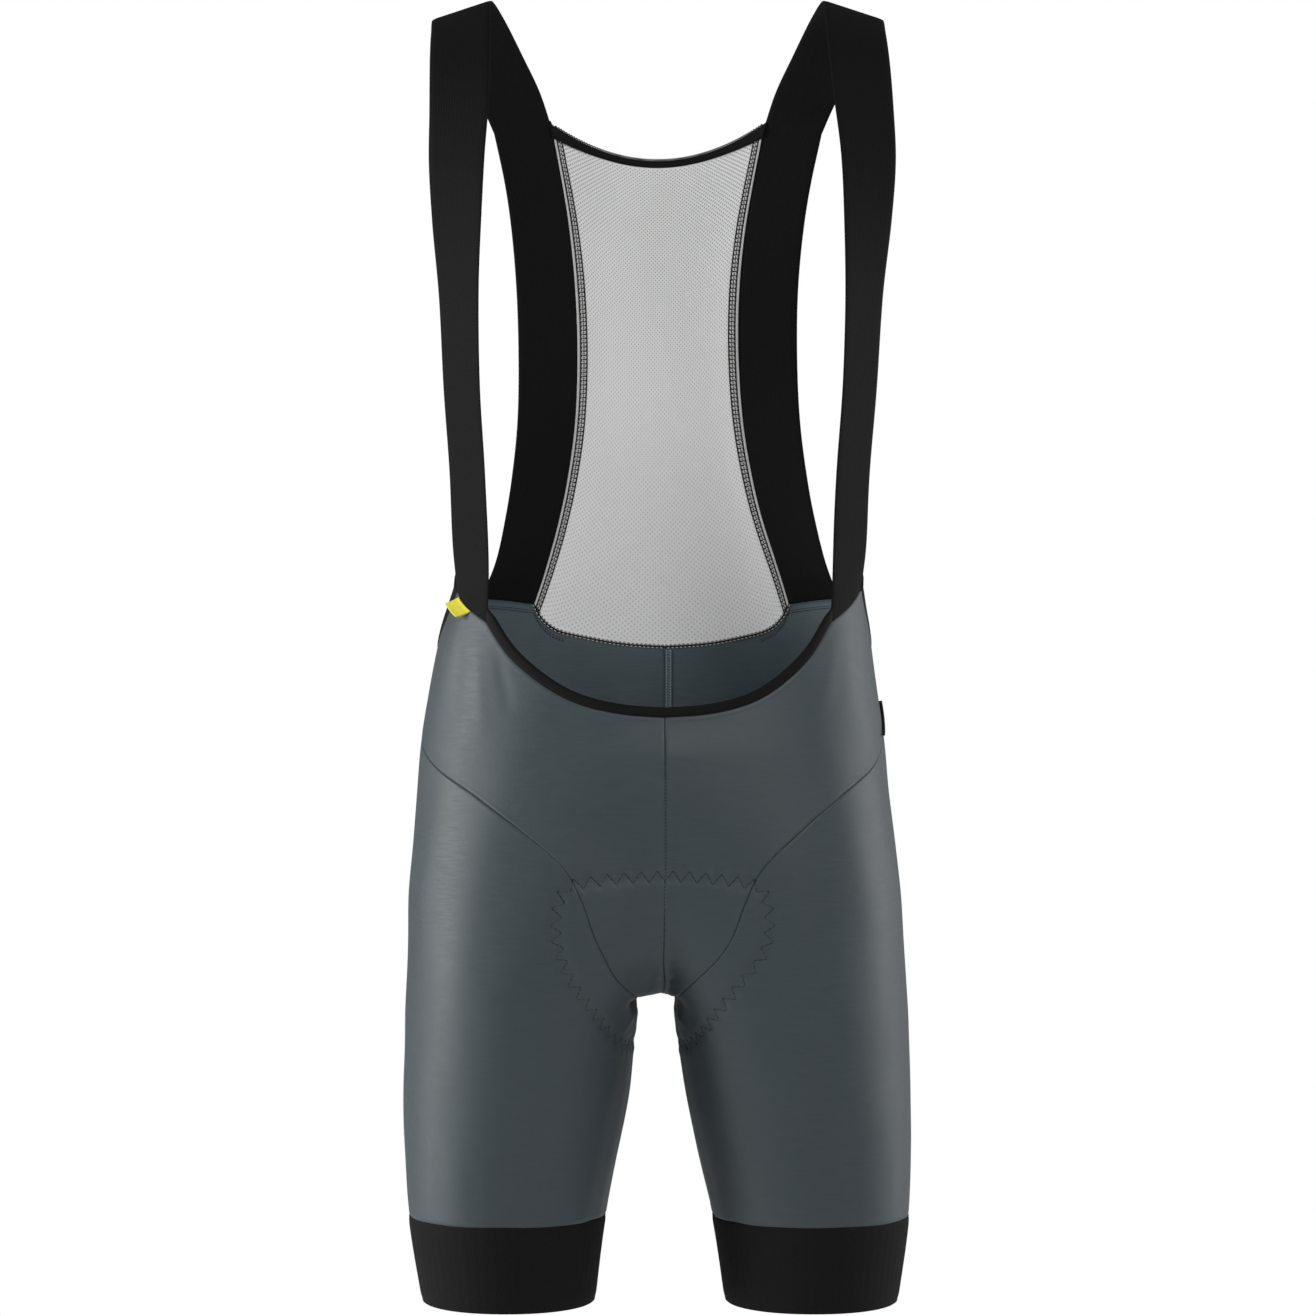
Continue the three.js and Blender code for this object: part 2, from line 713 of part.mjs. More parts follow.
// The trim's ends lie on the straps' inner edges above the mesh.
const strapAbove = strap[STEPS.frontStrap - 1][0];
const upwards = () => vector(0, 0, 1);
const trim = stripGrid(mesh[0], TRIM_WIDTH, upwards, mirrored(strapAbove), strapAbove);

const meshNormals = gridNormals(mesh);
const trimNormals = trim.map(() => meshNormals[0]);
const bound = { outer: BINDING_RAISE, inner: -WALL - BINDING_RAISE, endInset: BINDING_END_GAP };

for (const [side, mirror] of [["right", false], ["left", true]]) {
  addOnFigure(`front_panel_${side}`, materials.body, front, { inner: -WALL, mirror });
  addOnFigure(`leg_panel_${side}`, materials.body, leg, { inner: -WALL, mirror, closed: true });
  addOnFigure(`gripper_${side}`, materials.gripper, gripper, { inner: -GRIPPER_WALL, mirror, closed: true });
  addFree(`strap_${side}`, materials.elastic, strap, gridNormals(strap), { inner: -ELASTIC_WALL, mirror });
  addOnFigure(`side_binding_${side}`, materials.binding, sideBinding, { ...bound, mirror });
}
addOnFigure("neck_binding", materials.binding, neckBinding, bound);
addFree("mesh_back", materials.mesh, mesh, meshNormals, { inner: -MESH_WALL });
addFree("mesh_trim", materials.binding, trim, trimNormals, { inner: -TRIM_WALL, endInset: BINDING_END_GAP });

// The pad lies inside the crotch, thin at its edges, clear of the panels' inner face.
addPiece("seat_pad", materials.pad, padSolid(padGrid()));

// The tags: a light one on the viewer's left, a dark one on the viewer's right.
const strapTag = tagGrid(strapFoot, STRAP_TAG, vector(0.8, 0.8, -0.8));
addPiece("strap_tag", materials.strapTag, tagSolid(strapTag, STRAP_TAG, true));
const sideTag = tagGrid(joined(sideSeam, diagonal), SIDE_TAG, vector(0, -1, 0));
addPiece("side_tag", materials.sideTag, tagSolid(sideTag, SIDE_TAG, false));

export default garment;
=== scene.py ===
"""Cycling bib shorts, filled out as when they are worn: their cloth, elastic, mesh and sewing.

Points are in millimetres, with their height above the hems' level, until placed() turns them into the
frame's metres. Left and right are as seen by someone who looks at the front, which faces -Y. Panels are
shaped on the right and mirrored, and then each side gets its own creases.
"""

import math

import bpy
import numpy as np
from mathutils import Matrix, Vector, kdtree


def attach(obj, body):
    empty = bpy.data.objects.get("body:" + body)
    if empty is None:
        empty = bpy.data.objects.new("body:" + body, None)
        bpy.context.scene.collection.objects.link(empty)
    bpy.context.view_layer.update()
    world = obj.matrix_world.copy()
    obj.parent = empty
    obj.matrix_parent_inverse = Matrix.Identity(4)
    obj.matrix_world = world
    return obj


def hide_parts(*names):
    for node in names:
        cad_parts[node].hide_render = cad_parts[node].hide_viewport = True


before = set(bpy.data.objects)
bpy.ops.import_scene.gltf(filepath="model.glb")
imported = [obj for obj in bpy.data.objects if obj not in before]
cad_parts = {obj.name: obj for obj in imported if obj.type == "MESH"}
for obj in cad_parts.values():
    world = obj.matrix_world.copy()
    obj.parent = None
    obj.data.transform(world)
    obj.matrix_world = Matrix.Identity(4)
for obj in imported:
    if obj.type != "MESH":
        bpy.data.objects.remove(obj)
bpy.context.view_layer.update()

MM = 0.001
SHOULDER_HEIGHT = 898

# The photograph is square. Its camera looks level along +Y, with this scale on the plane of the origin.
PHOTO_SIDE = 1316
MM_PER_PIXEL = 0.70
CAMERA_DISTANCE = 2800
CAMERA_HEIGHT = 446

# Cloth thicknesses, and the widths and lifts of the narrow pieces.
KNIT_WALL = 1.2
ELASTIC_WALL = 1.6
MESH_WALL = 0.9
GRIPPER_WALL = 2.2
GRIPPER_RAISE = 0.5
GRIPPER_HEIGHT = 57
HEM_HEIGHT = -2
STRAP_WIDTH = 43
NECK_BINDING_WIDTH = 6.5
SIDE_BINDING_WIDTH = 4.5
BINDING_WALL = 3.0
BINDING_RAISE = 0.6
SIDE_BINDING_INSET = 6
TRIM_WIDTH = 4.5
TRIM_WALL = 2.4
TRIM_END_DROP = 4.5

# The figure, as in the part: how gently the legs' sections run together, how the leg's rows crowd upwards,
# where the rings start, how often a grid is evened out, and the length of one step over the figure.
CENTRE_SOFTNESS = 12
LEG_CROWDING = 1.3
RING_START = math.pi - 0.2
RELAX_ROUNDS = 6
FINE_RELAX_ROUNDS = 30
WALK_STEP = 4

# How often a point is moved towards the figure from afar, from near by and from close by, the step that
# slopes are measured over, and how many points seams and rings are read from.
FIT_ROUNDS = 12
NEAR_ROUNDS = 4
CLOSE_ROUNDS = 3
SLOPE_STEP = 0.05
SEAM_SAMPLES = 12
MORE_SEAM_SAMPLES = 40
RING_SAMPLES = 240

# Steps of the part's own grids, and how many times finer the cloth is here.
STEPS = {
    "neckline": 9,
    "frontRiseTop": 8,
    "frontRiseMiddle": 9,
    "frontRiseTip": 8,
    "diagonal": 17,
    "sideSeam": 4,
    "frontArmhole": 4,
    "backArmhole": 4,
    "strapFoot": 3,
    "backStrapFoot": 3,
    "scoop": 6,
    "backRise": 17,
}
LEG_ROWS = 16
FRONT_STRAP_ROWS = 22
BACK_STRAP_ROWS = 14
FRONT_FINENESS = 8
LEG_FINENESS = 7
STRAP_FINENESS = 8
EDGE_SHARES = (0.22, 0.55)

# Level sections of the figure's right half: height, centre, outer, inner, front, back, square, round.
SECTIONS = [
    [-20, 106, 163, 48.5, 65, 59, 2.1, 2.1],
    [0, 106, 166.5, 47, 68, 62, 2.1, 2.1],
    [57, 106, 175, 39.4, 76, 70, 2.1, 2.1],
    [108, 102, 177.5, 29.2, 84, 79, 2.2, 2.1],
    [143, 98.5, 177.5, 23, 91, 87, 2.3, 2.1],
    [178, 96, 176.4, 19.5, 97, 95, 2.6, 2.1],
    [200, 95, 176, 17.6, 100, 101, 3.0, 2.1],
    [213, 93, 175.4, 12.4, 102, 107, 3.3, 2.1],
    [230, 88, 174.5, 3.5, 104, 114, 3.4, 2.15],
    [250, 80, 173.6, -9, 106, 120, 3.4, 2.2],
    [283, 65, 172.4, -27, 109, 126, 3.4, 2.25],
    [318, 45, 168.7, -38, 112, 127, 3.2, 2.3],
    [353, 24, 165, -60, 114, 121, 3.0, 2.3],
    [388, 6, 162, -90, 114, 111, 2.8, 2.3],
    [423, 0, 157, -110, 111, 101, 2.6, 2.3],
    [458, 0, 151.5, -120, 106, 94, 2.5, 2.3],
    [490, 0, 146, -120, 101, 90, 2.5, 2.3],
    [520, 0, 144, -120, 98, 88, 2.5, 2.3],
]

# Seam guides on the right half, as points near the cloth: x, y, height.
GUIDES = {
    "neckline": [
        [0, -112, 406], [27, -111, 408], [50, -108, 412.7], [67, -104, 419.3], [84, -97, 430.2],
        [101.5, -84, 447], [115.5, -68, 470],
    ],
    "strapFoot": [
        [115.5, -68, 470], [129, -51, 481], [141.5, -32, 495],
    ],
    "frontArmhole": [
        [141.5, -32, 495], [147.5, -18, 473], [151.5, -2, 460], [150, 20, 456],
    ],
    "backArmhole": [
        [150, 20, 456], [146, 32, 462], [138, 40, 473], [127, 49, 488],
    ],
    "backStrapFoot": [
        [127, 49, 488], [111, 64, 487], [92, 75, 484.5],
    ],
    "scoop": [
        [92, 75, 484.5], [87, 78, 475], [77, 82, 466.5], [53, 88, 460], [29, 92, 456], [0, 93, 454],
    ],
    "sideSeam": [
        [150, 20, 456], [157, 10, 432], [161, -3, 408],
    ],
    "diagonal": [
        [161, -3, 408], [158, -24, 388], [149, -47, 373.5], [121, -86, 351], [92, -101, 328],
        [66.5, -107, 304], [55.5, -105, 283], [46, -98, 256], [34, -84, 234], [22, -58, 219],
        [12, -22, 212], [9, 14, 212],
    ],
    "frontRiseTop": [
        [0, -112, 406], [0, -113, 368],
    ],
    "frontRiseMiddle": [
        [0, -113, 368], [0, -111, 325], [0, -104, 280],
    ],
    "frontRiseTip": [
        [0, -104, 280], [0, -94, 255], [0, -75, 232], [0, -45, 217], [0, -15, 213], [0, 14, 213],
    ],
    "backRise": [
        [0, 93, 454], [0, 103, 415], [0, 118, 370], [0, 125, 320], [0, 118, 275], [0, 95, 240],
        [0, 55, 218], [0, 14, 213],
    ],
}

# The strap's inner edge over the shoulder: x, y, height, how far the outer edge swings back in degrees, and
# how much lower that edge lies.
FRONT_RUN = [
    [118.5, -72, 522, 55, 0],
    [120.5, -79, 573, 55, 0],
    [124, -86, 631, 54, 0],
    [125, -92, 695, 50, 0],
    [123.3, -96, 745, 38, 1],
    [121, -97, 787, 27, 3],
    [117.5, -89, 825, 17, 6],
    [115.8, -68, 862, 7, 9],
    [116, -37, 890, 2, 12],
    [116.2, 0, 906.5, 0, 13.5],
    [109, 34, 899, 3, 13.5],
    [96.5, 61, 876, 2, 13],
    [85, 81, 853, -4, 9],
    [76.3, 95.5, 827, -13, 3],
]
BACK_RUN = [
    FRONT_RUN[-1],
    [69, 106, 788, -15, 0],
    [64.2, 111, 758, -13, 0],
    [60, 112, 716, -10, 0],
    [58.6, 108, 668, -10, 0],
    [61.2, 101, 616, -18, 0],
    [67.7, 94, 573, -25, 0],
    [74, 88, 545, -30, 0],
    [83, 81, 514, -35, 0],
]
MESH_DIP = 24
MESH_TOP_DEPTH = 112

# How far the worn garment sits to one side: height, sides, middle, turn.
SWAY = [
    [-2, 1.4, 0, 0],
    [140, -0.4, 0, 0],
    [222, -1.3, 0, 0],
    [250, -1.8, 5.5, 0],
    [300, -2.2, 7, 0],
    [380, -3.8, 8.5, 0],
    [440, -3.6, 8.5, 0],
    [475, -2.4, 7, 0],
    [505, 0, 4, 0],
    [560, 0.5, 2, 0.005],
    [700, 1, 0.5, 0.017],
    [800, 1.5, 0, 0.017],
    [907, -0.5, 0, 0],
]
SWAY_REACH = 160

# How far the centre seam's lower end is pulled to the right at the crotch, and where: its height, its reach
# across and up, and the depth at which it starts and over which it grows.
TIP_SHIFT = 6
TIP_HEIGHT = 222
TIP_REACH = (11, 16)
TIP_START = 20
TIP_GROWTH = 60

# The pad: its thickness, the room between it and the cloth, its ends on the centre seams, and its half width
# at each share of its length from front to back.
PAD_WALL = 5
PAD_EDGE = 1.5
PAD_DEPTH = 3.7
PAD_BEVEL = 9
PAD_FRONT_HEIGHT = 303
PAD_FRONT_BOW = 5
PAD_BACK_HEIGHT = 306
PAD_ROWS = 132
PAD_HALF_COLUMNS = 30
PAD_HALF_WIDTHS = [
    [0, 62],
    [0.04, 72],
    [0.1, 76.5],
    [0.15, 74.5],
    [0.2, 64.5],
    [0.26, 54.5],
    [0.33, 50],
    [0.45, 45],
    [0.6, 44],
    [0.75, 64],
    [0.9, 78],
    [1, 62],
]

# Ridges and troughs of the cloth, each as its height, its place beside what draws it and its half width:
# the seams' groove and the ridge of their allowance, the pull of the pad's stitching and of its holes, the
# puckers beside it, and the pull of the hem's joint.
GROOVE = (-0.65, 0, 0.45)
RIDGE = (0.14, 2.2, 1.1)
TROUGH = (-0.45, 0, 4.2)
DENT = (-0.55, 0, 1.5)
PUCKER = (0.5, 5.5, 3.2)
PUCKER_SHARPNESS = 6
HEM_TUCK = (-0.6, 0, 1.2)

# Creases: start and end near the cloth, half width and height, which is negative for a trough.
CREASES = [
    # Drawn down from the left strap's foot.
    [(-129, -50, 470), (-127, -60, 398), 5.5, -0.55],
    [(-121, -62, 466), (-114, -78, 388), 6.5, 0.6],
    [(-110, -76, 456), (-100, -93, 404), 5.0, -0.5],
    [(-138, -36, 478), (-146, -36, 430), 4.5, 0.5],
    # Fainter below the right strap's foot.
    [(130, -48, 468), (134, -56, 410), 6.0, -0.4],
    [(117, -66, 460), (108, -84, 402), 7.0, 0.4],
    # Round the two ends of the crotch.
    [(-15, -60, 221), (-2, -72, 227), 2.0, -1.1],
    [(-20, -66, 226), (-7, -80, 236), 2.8, 0.6],
    [(3, -68, 225), (17, -78, 234), 2.0, -1.1],
    [(8, -56, 217), (26, -70, 226), 2.6, 0.8],
    [(10, -44, 213), (28, -60, 220), 2.0, -1.0],
    # On the inner thighs, beside the pad's edge.
    [(-19, -30, 206), (-24, -62, 190), 3.0, 0.8],
    [(-18, -22, 192), (-21, -48, 178), 2.6, -0.7],
    [(19, -30, 206), (25, -62, 192), 3.2, 0.9],
    [(18, -24, 190), (22, -50, 174), 2.8, -0.8],
    # Soft folds where the grippers draw the legs in.
    [(-166, -26, 118), (-168, -22, 62), 6.0, -0.35],
    [(-150, -56, 126), (-152, -50, 60), 7.0, 0.4],
    [(-124, -76, 108), (-126, -70, 60), 6.0, -0.3],
    [(128, -74, 122), (128, -68, 60), 6.5, -0.35],
    [(156, -50, 116), (156, -44, 61), 6.5, 0.35],
    [(-60, -64, 96), (-62, -60, 60), 5.0, 0.3],
    [(74, -74, 104), (74, -66, 60), 6.0, 0.3],
    [(-130, 62, 120), (-128, 58, 61), 6.5, -0.4],
    [(-92, 76, 112), (-94, 68, 61), 7.0, 0.4],
    [(112, 70, 124), (110, 66, 61), 7.0, -0.4],
    [(148, 50, 108), (148, 46, 61), 6.0, 0.4],
    # Under the seat, uneven on the two sides.
    [(-26, 92, 212), (-96, 108, 206), 7.5, -1.3],
    [(-40, 104, 198), (-120, 98, 190), 6.0, 0.7],
    [(30, 94, 214), (104, 106, 204), 8.0, -1.4],
    [(46, 102, 196), (112, 100, 186), 5.5, 0.7],
    [(-14, 112, 262), (-46, 124, 246), 5.0, -0.6],
    [(16, 114, 268), (52, 124, 248), 5.5, -0.6],
    # At the back of the waist and beside the back strap feet.
    [(-112, 60, 470), (-120, 72, 412), 6.0, -0.6],
    [(-92, 76, 462), (-84, 94, 404), 6.5, 0.6],
    [(-40, 92, 440), (-30, 106, 396), 6.0, -0.4],
    [(108, 64, 466), (112, 80, 408), 6.0, -0.6],
    [(90, 78, 458), (76, 98, 398), 7.0, 0.5],
    [(34, 92, 438), (26, 108, 392), 6.0, -0.4],
    [(150, 36, 440), (160, 30, 392), 6.5, -0.5],
    [(-150, 36, 438), (-161, 28, 386), 6.5, -0.5],
]
CREASE_SAMPLES = 48
CREASE_REACH = 3

# Slow unevenness of the stretched knit: height, wave lengths across and up, and where it starts.
WAVES = [
    (0.22, 92, 210, 0.3),
    (0.16, 47, 160, 1.9),
    (0.12, 151, 73, 4.2),
]

# The stitching that holds the pad, as a three-step zigzag: how far inside the pad's edge it runs, its pitch
# and swing, its thread, how far the pad pushes the cloth out inside it, and the spacing of points that
# distances are measured to.
ZIGZAG_INSET = 3.5
ZIGZAG_PITCH = 11
ZIGZAG_SWING = 3.9
ZIGZAG_STEPS = 3
ZIGZAG_THREAD = 0.26
ZIGZAG_LIFT = 0.2
ZIGZAG_BITE = 0.35
PAD_PUSH = 0.7
PAD_PUSH_WIDTH = 9
PATH_SPACING = 0.4

# Where the slow waves run round each hip.
WAVE_RADIUS = 100
WAVE_CENTRE = 60
WAVE_SIDE_SHIFT = 37

# The keel: the front panels meet at a slight angle along the centre seam.
KEEL_HEIGHT = 3.8
KEEL_WIDTH = 32
KEEL_ENDS = (226, 246, 378, 404)

# The crotch's flat underside between the legs: how far the cloth draws back beside its middle, and where.
BRIDGE_DRAW = 8.5
BRIDGE_PLACE = (12, -22, 207.5)
BRIDGE_SIZE = (6.5, 60, 5)

# Grids of the pad's edge and ends, with the channels in its inner face.
PAD_EDGE_COLUMNS = 24
PAD_END_ROWS = 2
PAD_CHANNEL = 1.6
PAD_CHANNEL_PLACE = 14
PAD_CHANNEL_WIDTH = 3.5
PAD_CHANNEL_FADE = 40

# Grids of the elastic bands, and how their edges are rounded off.
GRIPPER_ROWS = 22
GRIPPER_COLUMNS = 240
GRIPPER_RIB = 0.08
GRIPPER_RIB_STEPS = 4
GRIPPER_EDGES = (14, 9)
GRIPPER_EDGE_DROP = 0.5
STRAP_EDGE_DROP = 0.5
STRAP_EDGE_START = 0.5
STRAP_EDGE_COLUMNS = 2.5
BINDING_COLUMNS = 8
BINDING_ROUNDING = 0.9

# The mesh knit: its cells across and down, the grid lines of one cell and of its plain border, how deep its
# slots are, how sharp their edges look, and the rows over which they and their painted shade fade towards the
# foot.
MESH_CELLS = (46, 112)
CELL_COLUMNS = 4
CELL_ROWS = 2
NET_BORDER = 2
DIMPLE_DEPTH = 0.34
SLOT_EDGE = (0.25, 0.8)
SLOT_CLOSING_ROWS = (8, 64)
SLOT_CLOSING = (1.0, 0.45)

# The folded tags: start on the seam, length along it, how far they hang out, the ribbon's own thickness,
# the room inside the fold, how far the fold lifts, and the way that they hang. Both are given on the right
# half, and the strap's tag is mirrored to the left.
STRAP_TAG = {"start": 0.34, "along": 21, "clear": 0.5, "out": 8, "ribbon": 0.4, "loop": 1.0, "lift": 4}
SIDE_TAG = {"start": 0.1, "along": 32, "clear": 0.5, "out": 7, "ribbon": 0.4, "loop": 0.5, "lift": 1.2}
STRAP_TAG_WAY = (0.8, 0.8, -0.8)
SIDE_TAG_WAY = (0, -1, 0)
TAG_CLEARANCE = 0.35
TAG_COLUMNS = 12
TAG_ROWS = 10
TAG_FOLD_STEPS = 5
TAG_LOOP_SPREAD = 1.6

# The shapes of stitches: the places along a single one and its rise at the three between its ends, the
# heights of a thread that crosses to and fro, and those of a chain's thread.
THREAD_SIDES = 4
STITCH_PLACES = (0, 0.16, 0.5, 0.84, 1)
STITCH_RISES = (0.6, 1, 0.6)
WEAVE_HEIGHTS = (0.5, 1, 0.5, 1)
CHAIN_HEIGHTS = (1.0, 0.3)
TICK_LIFT = 0.16
TICK_BITE = 0.3

# Crossing threads and chains, each as its pitch, its lift and its thread's radius.
OVERLOCK_WEAVE = (3.1, 0.3, 0.4 * 1.4)
OVERLOCK_CHAIN = (3.1, 0.55, 0.4 * 1.15)
NET_EDGE_CHAIN = (2.1, 0.5, 0.5)
TOP_WEAVE = (2.1, 0.25, 0.5)
FOOT_WEAVE = (3.1, 0.4, 0.26)
FOOT_CHAIN = (3.1, 0.5, 0.55)
LADDER_WEAVE = (2.1, 0.2, 0.26 * 0.7)
# Painted shadow: a black chain along the far edge of the centre back's allowance.
ALLOWANCE_SHADOW_CHAIN = (3.1, 0.1, 0.35)

# Rows of single stitches, each as its pitch, the share of it that a stitch fills, and its thread's radius.
BEADS = (3.1, 0.45, 0.6)
TOP_SPECKS = (2.1, 0.4, 0.4)
FOOT_SPECKS = (3.1, 0.35, 0.4)
HEM_TICKS = (2.2, 0.55, 0.26)
LADDER_TICKS = (2.1, 0.6, 0.26 * 1.5)
CENTRE_TICKS = (2.2, 0.3, 0.12)

# The overlock beside the straps: where its threads start and end, the columns over which the net's direction
# is read, the net's allowance under it, and its white chains and beads.
OVERLOCK_START = 2.4
OVERLOCK_WIDTH = 7.2
NET_EDGE_STEP = 3
NET_ALLOWANCE_COLUMNS = 4
NET_ALLOWANCE_SHARE = 0.6
NET_EDGE_CHAIN_PLACES = (0.4, 1.2)
BEAD_PLACES = (3.8, 5.7)
BEAD_LIFT = 0.45

# The loops of the net's top edge, as places along their pitch and shares of their height.
PICOT_PITCH = 2.1
PICOT_HEIGHT = 1.5
PICOT_THREAD = 0.5
PICOT_SHAPE = ((0.05, -0.5), (0.1, 0.5), (0.5, 1.0), (0.9, 0.5), (0.95, -0.5))
TOP_WEAVE_SIDES = (0.3, 0.2)
SPECK_PLACES = (0.55, 0.85)
SPECK_LIFT = 0.46

# The back's hem and the overlock at the net's foot, both seen inside the back.
BACK_HEM_DEPTH = 4.5
BACK_HEM_ROWS = (0, 1.6)
HEM_END = 2
FOOT_CLEARANCE = 0.1
FOOT_WEAVE_SIDES = (-0.3, 1.7)
FOOT_SPECK_OFFSET = 0.9
FOOT_SPECK_LIFT = 0.5

# The seam allowance at the centre back, a black chain as painted shadow beside its far edge, and the
# stitches of the centre front.
ALLOWANCE_WIDTH = 5.5
ALLOWANCE_WALL = 0.7
ALLOWANCE_COLUMNS = 6
ALLOWANCE_SINK = 0.05
# The allowance counts as this far from a seam, so it gets no painted seam shade.
FAR_FROM_SEAM = 3.0
LADDER_SIDES = (1.0, ALLOWANCE_WIDTH - 1.6)
ALLOWANCE_SHADOW_OFFSET = 0.4
CENTRE_STITCH_FOOT = 245
CENTRE_STITCH_START = 4

# Colours of the cloths. A plain cloth also has its roughness, sheen, gloss and bump, and an elastic the
# pitches of its ribs and picks and its bump. Bumps are in metres.
KNIT_COLOR = (0.046, 0.061, 0.069)
MESH_YARN_COLOR = (0.95, 0.95, 0.95, 1)
# Painted shade: the dark colour of the net's slots, for the shade seen through them.
MESH_SLOT_PAINTED_SHADE = (0.14, 0.14, 0.145, 1)
YELLOW = (0.80, 0.72, 0.035)
SIDE_TAG_COLOR = (0.012, 0.012, 0.013)
PAD_COLORS = ((0.02, 0.022, 0.025, 1), (0.07, 0.075, 0.08, 1))
ELASTIC_LOOK = ((0.0055, 0.0055, 0.006), 1.9, 1.1, 0.0001)
GRIPPER_LOOK = ((0.0075, 0.0075, 0.0075), 2.0, 1.3, 0.00012)
PLAIN_LOOKS = {
    "binding": ((0.0058, 0.0058, 0.0064), 0.8, 0.0, 0.15, 0.00006),
    "white_thread": ((0.7, 0.7, 0.69), 0.7, 0.1, 0.3, 0.00003),
    "grey_thread": ((0.2, 0.235, 0.25), 0.7, 0.1, 0.3, 0.00003),
    "ladder_thread": ((0.36, 0.41, 0.43), 0.7, 0.1, 0.3, 0.00003),
    "black_thread": ((0.008, 0.008, 0.009), 0.7, 0.1, 0.25, 0.00003),
}

# How patterns, painted shade and painted light change the colours: the range of noise that counts, and what
# it and the patterns turn into.
NOISE_RANGE = (0.3, 0.7)
STREAK_SHADE = (0.93, 1.07)
BLOTCH_SHADE = (0.96, 1.04)
# Painted shade along the seam grooves: the distances from a seam over which it fades, and how dark it is
# there.
SEAM_REACH = (0.05, 0.42)
SEAM_PAINTED_SHADE = (0.3, 1.0)
# Painted light: how much lighter the knit's reverse face is drawn, standing in for light that the lamps don't
# bring inside the back.
REVERSE_PAINTED_LIGHT = 2.0
SHADE_ROOM = 4
KNIT_ROUGHNESS = (0.46, 0.56)
RIB_SHADE = 0.25
ELASTIC_SHADE = (0.3, 0.5)
ELASTIC_TINTS = (0.6, 1.7)
YARN_SHADE = (0.95, 1.0)
NAP_SHADE = (0.35, 0.65)
NAP_TINTS = (0.8, 1.2)
RIBBON_SHADE = (0.3, 0.7)
RIBBON_TINTS = (0.85, 1.12)

# Fine pitches in millimetres, and depths in metres.
WALE_PITCH = 0.9
COURSE_PITCH = 0.75
RIBBON_PITCH = 0.5
KNIT_BUMP = 0.00004
NET_BUMP = 0.0002
RIBBON_BUMP = 0.00005
PAD_BUMP = 0.0002
SEE_THROUGH_DEPTH = 0.0015

# The studio: lights as name, place, watts, width and height, in metres.
FLOOR_RADIUS = 2.2
FLOOR_HEIGHT = -1.36
FLOOR_SIDES = 64
FLOOR_COLOR = (0.82, 0.82, 0.82, 1)
WORLD_LIGHT = 0.15
CAMERA_REACH = 50
LIGHT_TARGET = (0, 0, -0.5)
LIGHTS = [
    ("key", (-2.4, -0.1, -0.3), 64, 1.0, 2.0),
    ("front_fill", (0.7, -1.8, 0.5), 23, 1.2, 1.0),
    ("right_rim", (2.2, 0.8, -0.2), 29, 1.2, 2.0),
]

SIDES = (("right", 1), ("left", -1))


# Curves and tables


def table_at(rows, value):
    """The columns of a table at values of its first column, on smooth curves through its rows."""
    rows = np.asarray(rows, float)
    value = np.asarray(value, float)
    i = np.clip(np.searchsorted(rows[:, 0], value) - 1, 0, len(rows) - 2)
    low, high = rows[i], rows[i + 1]
    before, after = rows[np.maximum(i - 1, 0)], rows[np.minimum(i + 2, len(rows) - 1)]
    span = high[..., :1] - low[..., :1]
    t = (value[..., None] - low[..., :1]) / span
    start = (high - before) / (high[..., :1] - before[..., :1]) * span
    end = (after - low) / (after[..., :1] - low[..., :1]) * span
    blend = (2 * t - 3) * t * t
    found = (1 + blend) * low - blend * high
    return found + (t - 1) ** 2 * t * start + (t - 1) * t * t * end


def unit(vectors):
    length = np.linalg.norm(vectors, axis=-1, keepdims=True)
    return vectors / np.maximum(length, 1e-9)


def dot(a, b):
    return (a * b).sum(-1, keepdims=True)


def shares(count):
    return np.linspace(0, 1, count + 1)


def smooth(value):
    value = np.clip(value, 0, 1)
    return value * value * (3 - 2 * value)


def curve_at(points, where):
    """Points at shares of a centripetal Catmull-Rom curve through the given points."""
    points = np.asarray(points, float)
    run = np.vstack([2 * points[0] - points[1], points, 2 * points[-1] - points[-2]])
    place = np.asarray(where) * (len(points) - 1)
    i = np.minimum(place.astype(int), len(points) - 2)
    t = (place - i)[:, None]
    a, b, c, d = (run[i + k] for k in range(4))
    ab, bc, cd = (np.linalg.norm(q - p, axis=1)[:, None] ** 0.5 for p, q in ((a, b), (b, c), (c, d)))
    start = ((b - a) / ab - (c - a) / (ab + bc) + (c - b) / bc) * bc
    end = ((c - b) / bc - (d - b) / (bc + cd) + (d - c) / cd) * bc
    cubic = 2 * b - 2 * c + start + end
    square = -3 * b + 3 * c - 2 * start - end
    return b + start * t + square * t**2 + cubic * t**3


def lengths_along(points):
    """The distance along a polyline to each of its points."""
    return np.concatenate([[0], np.cumsum(np.linalg.norm(np.diff(points, axis=0), axis=1))])


def spread(points, count):
    """count + 1 points evenly along a polyline."""
    far = lengths_along(points)
    wanted = np.linspace(0, far[-1], count + 1)
    return np.stack([np.interp(wanted, far, points[:, k]) for k in range(3)], axis=1)


def joined(*runs):
    return np.vstack([runs[0]] + [run[1:] for run in runs[1:]])


def both_sides(points):
    """A run of points from the centre line outwards, carried on to the left: from left to right."""
    return np.vstack([points[::-1] * (-1, 1, 1), points[1:]])


# The figure


def figure(p):
    """About how far points lie outside the cloth's outer face: 0 on it and negative inside."""
    _, centre, outer, inner, front, back, square, rounded = np.moveaxis(table_at(SECTIONS, p[..., 2]), -1, 0)
    x = np.hypot(p[..., 0], CENTRE_SOFTNESS)
    is_outer = x > centre
    wide = np.where(is_outer, outer - centre, centre - inner)
    power = np.where(is_outer, rounded, square)
    across = np.abs(x - centre) / wide
    deep = np.abs(p[..., 1]) / np.where(p[..., 1] < 0, front, back)
    return ((across**power + deep**power) ** (1 / power) - 1) * np.minimum(wide, front)


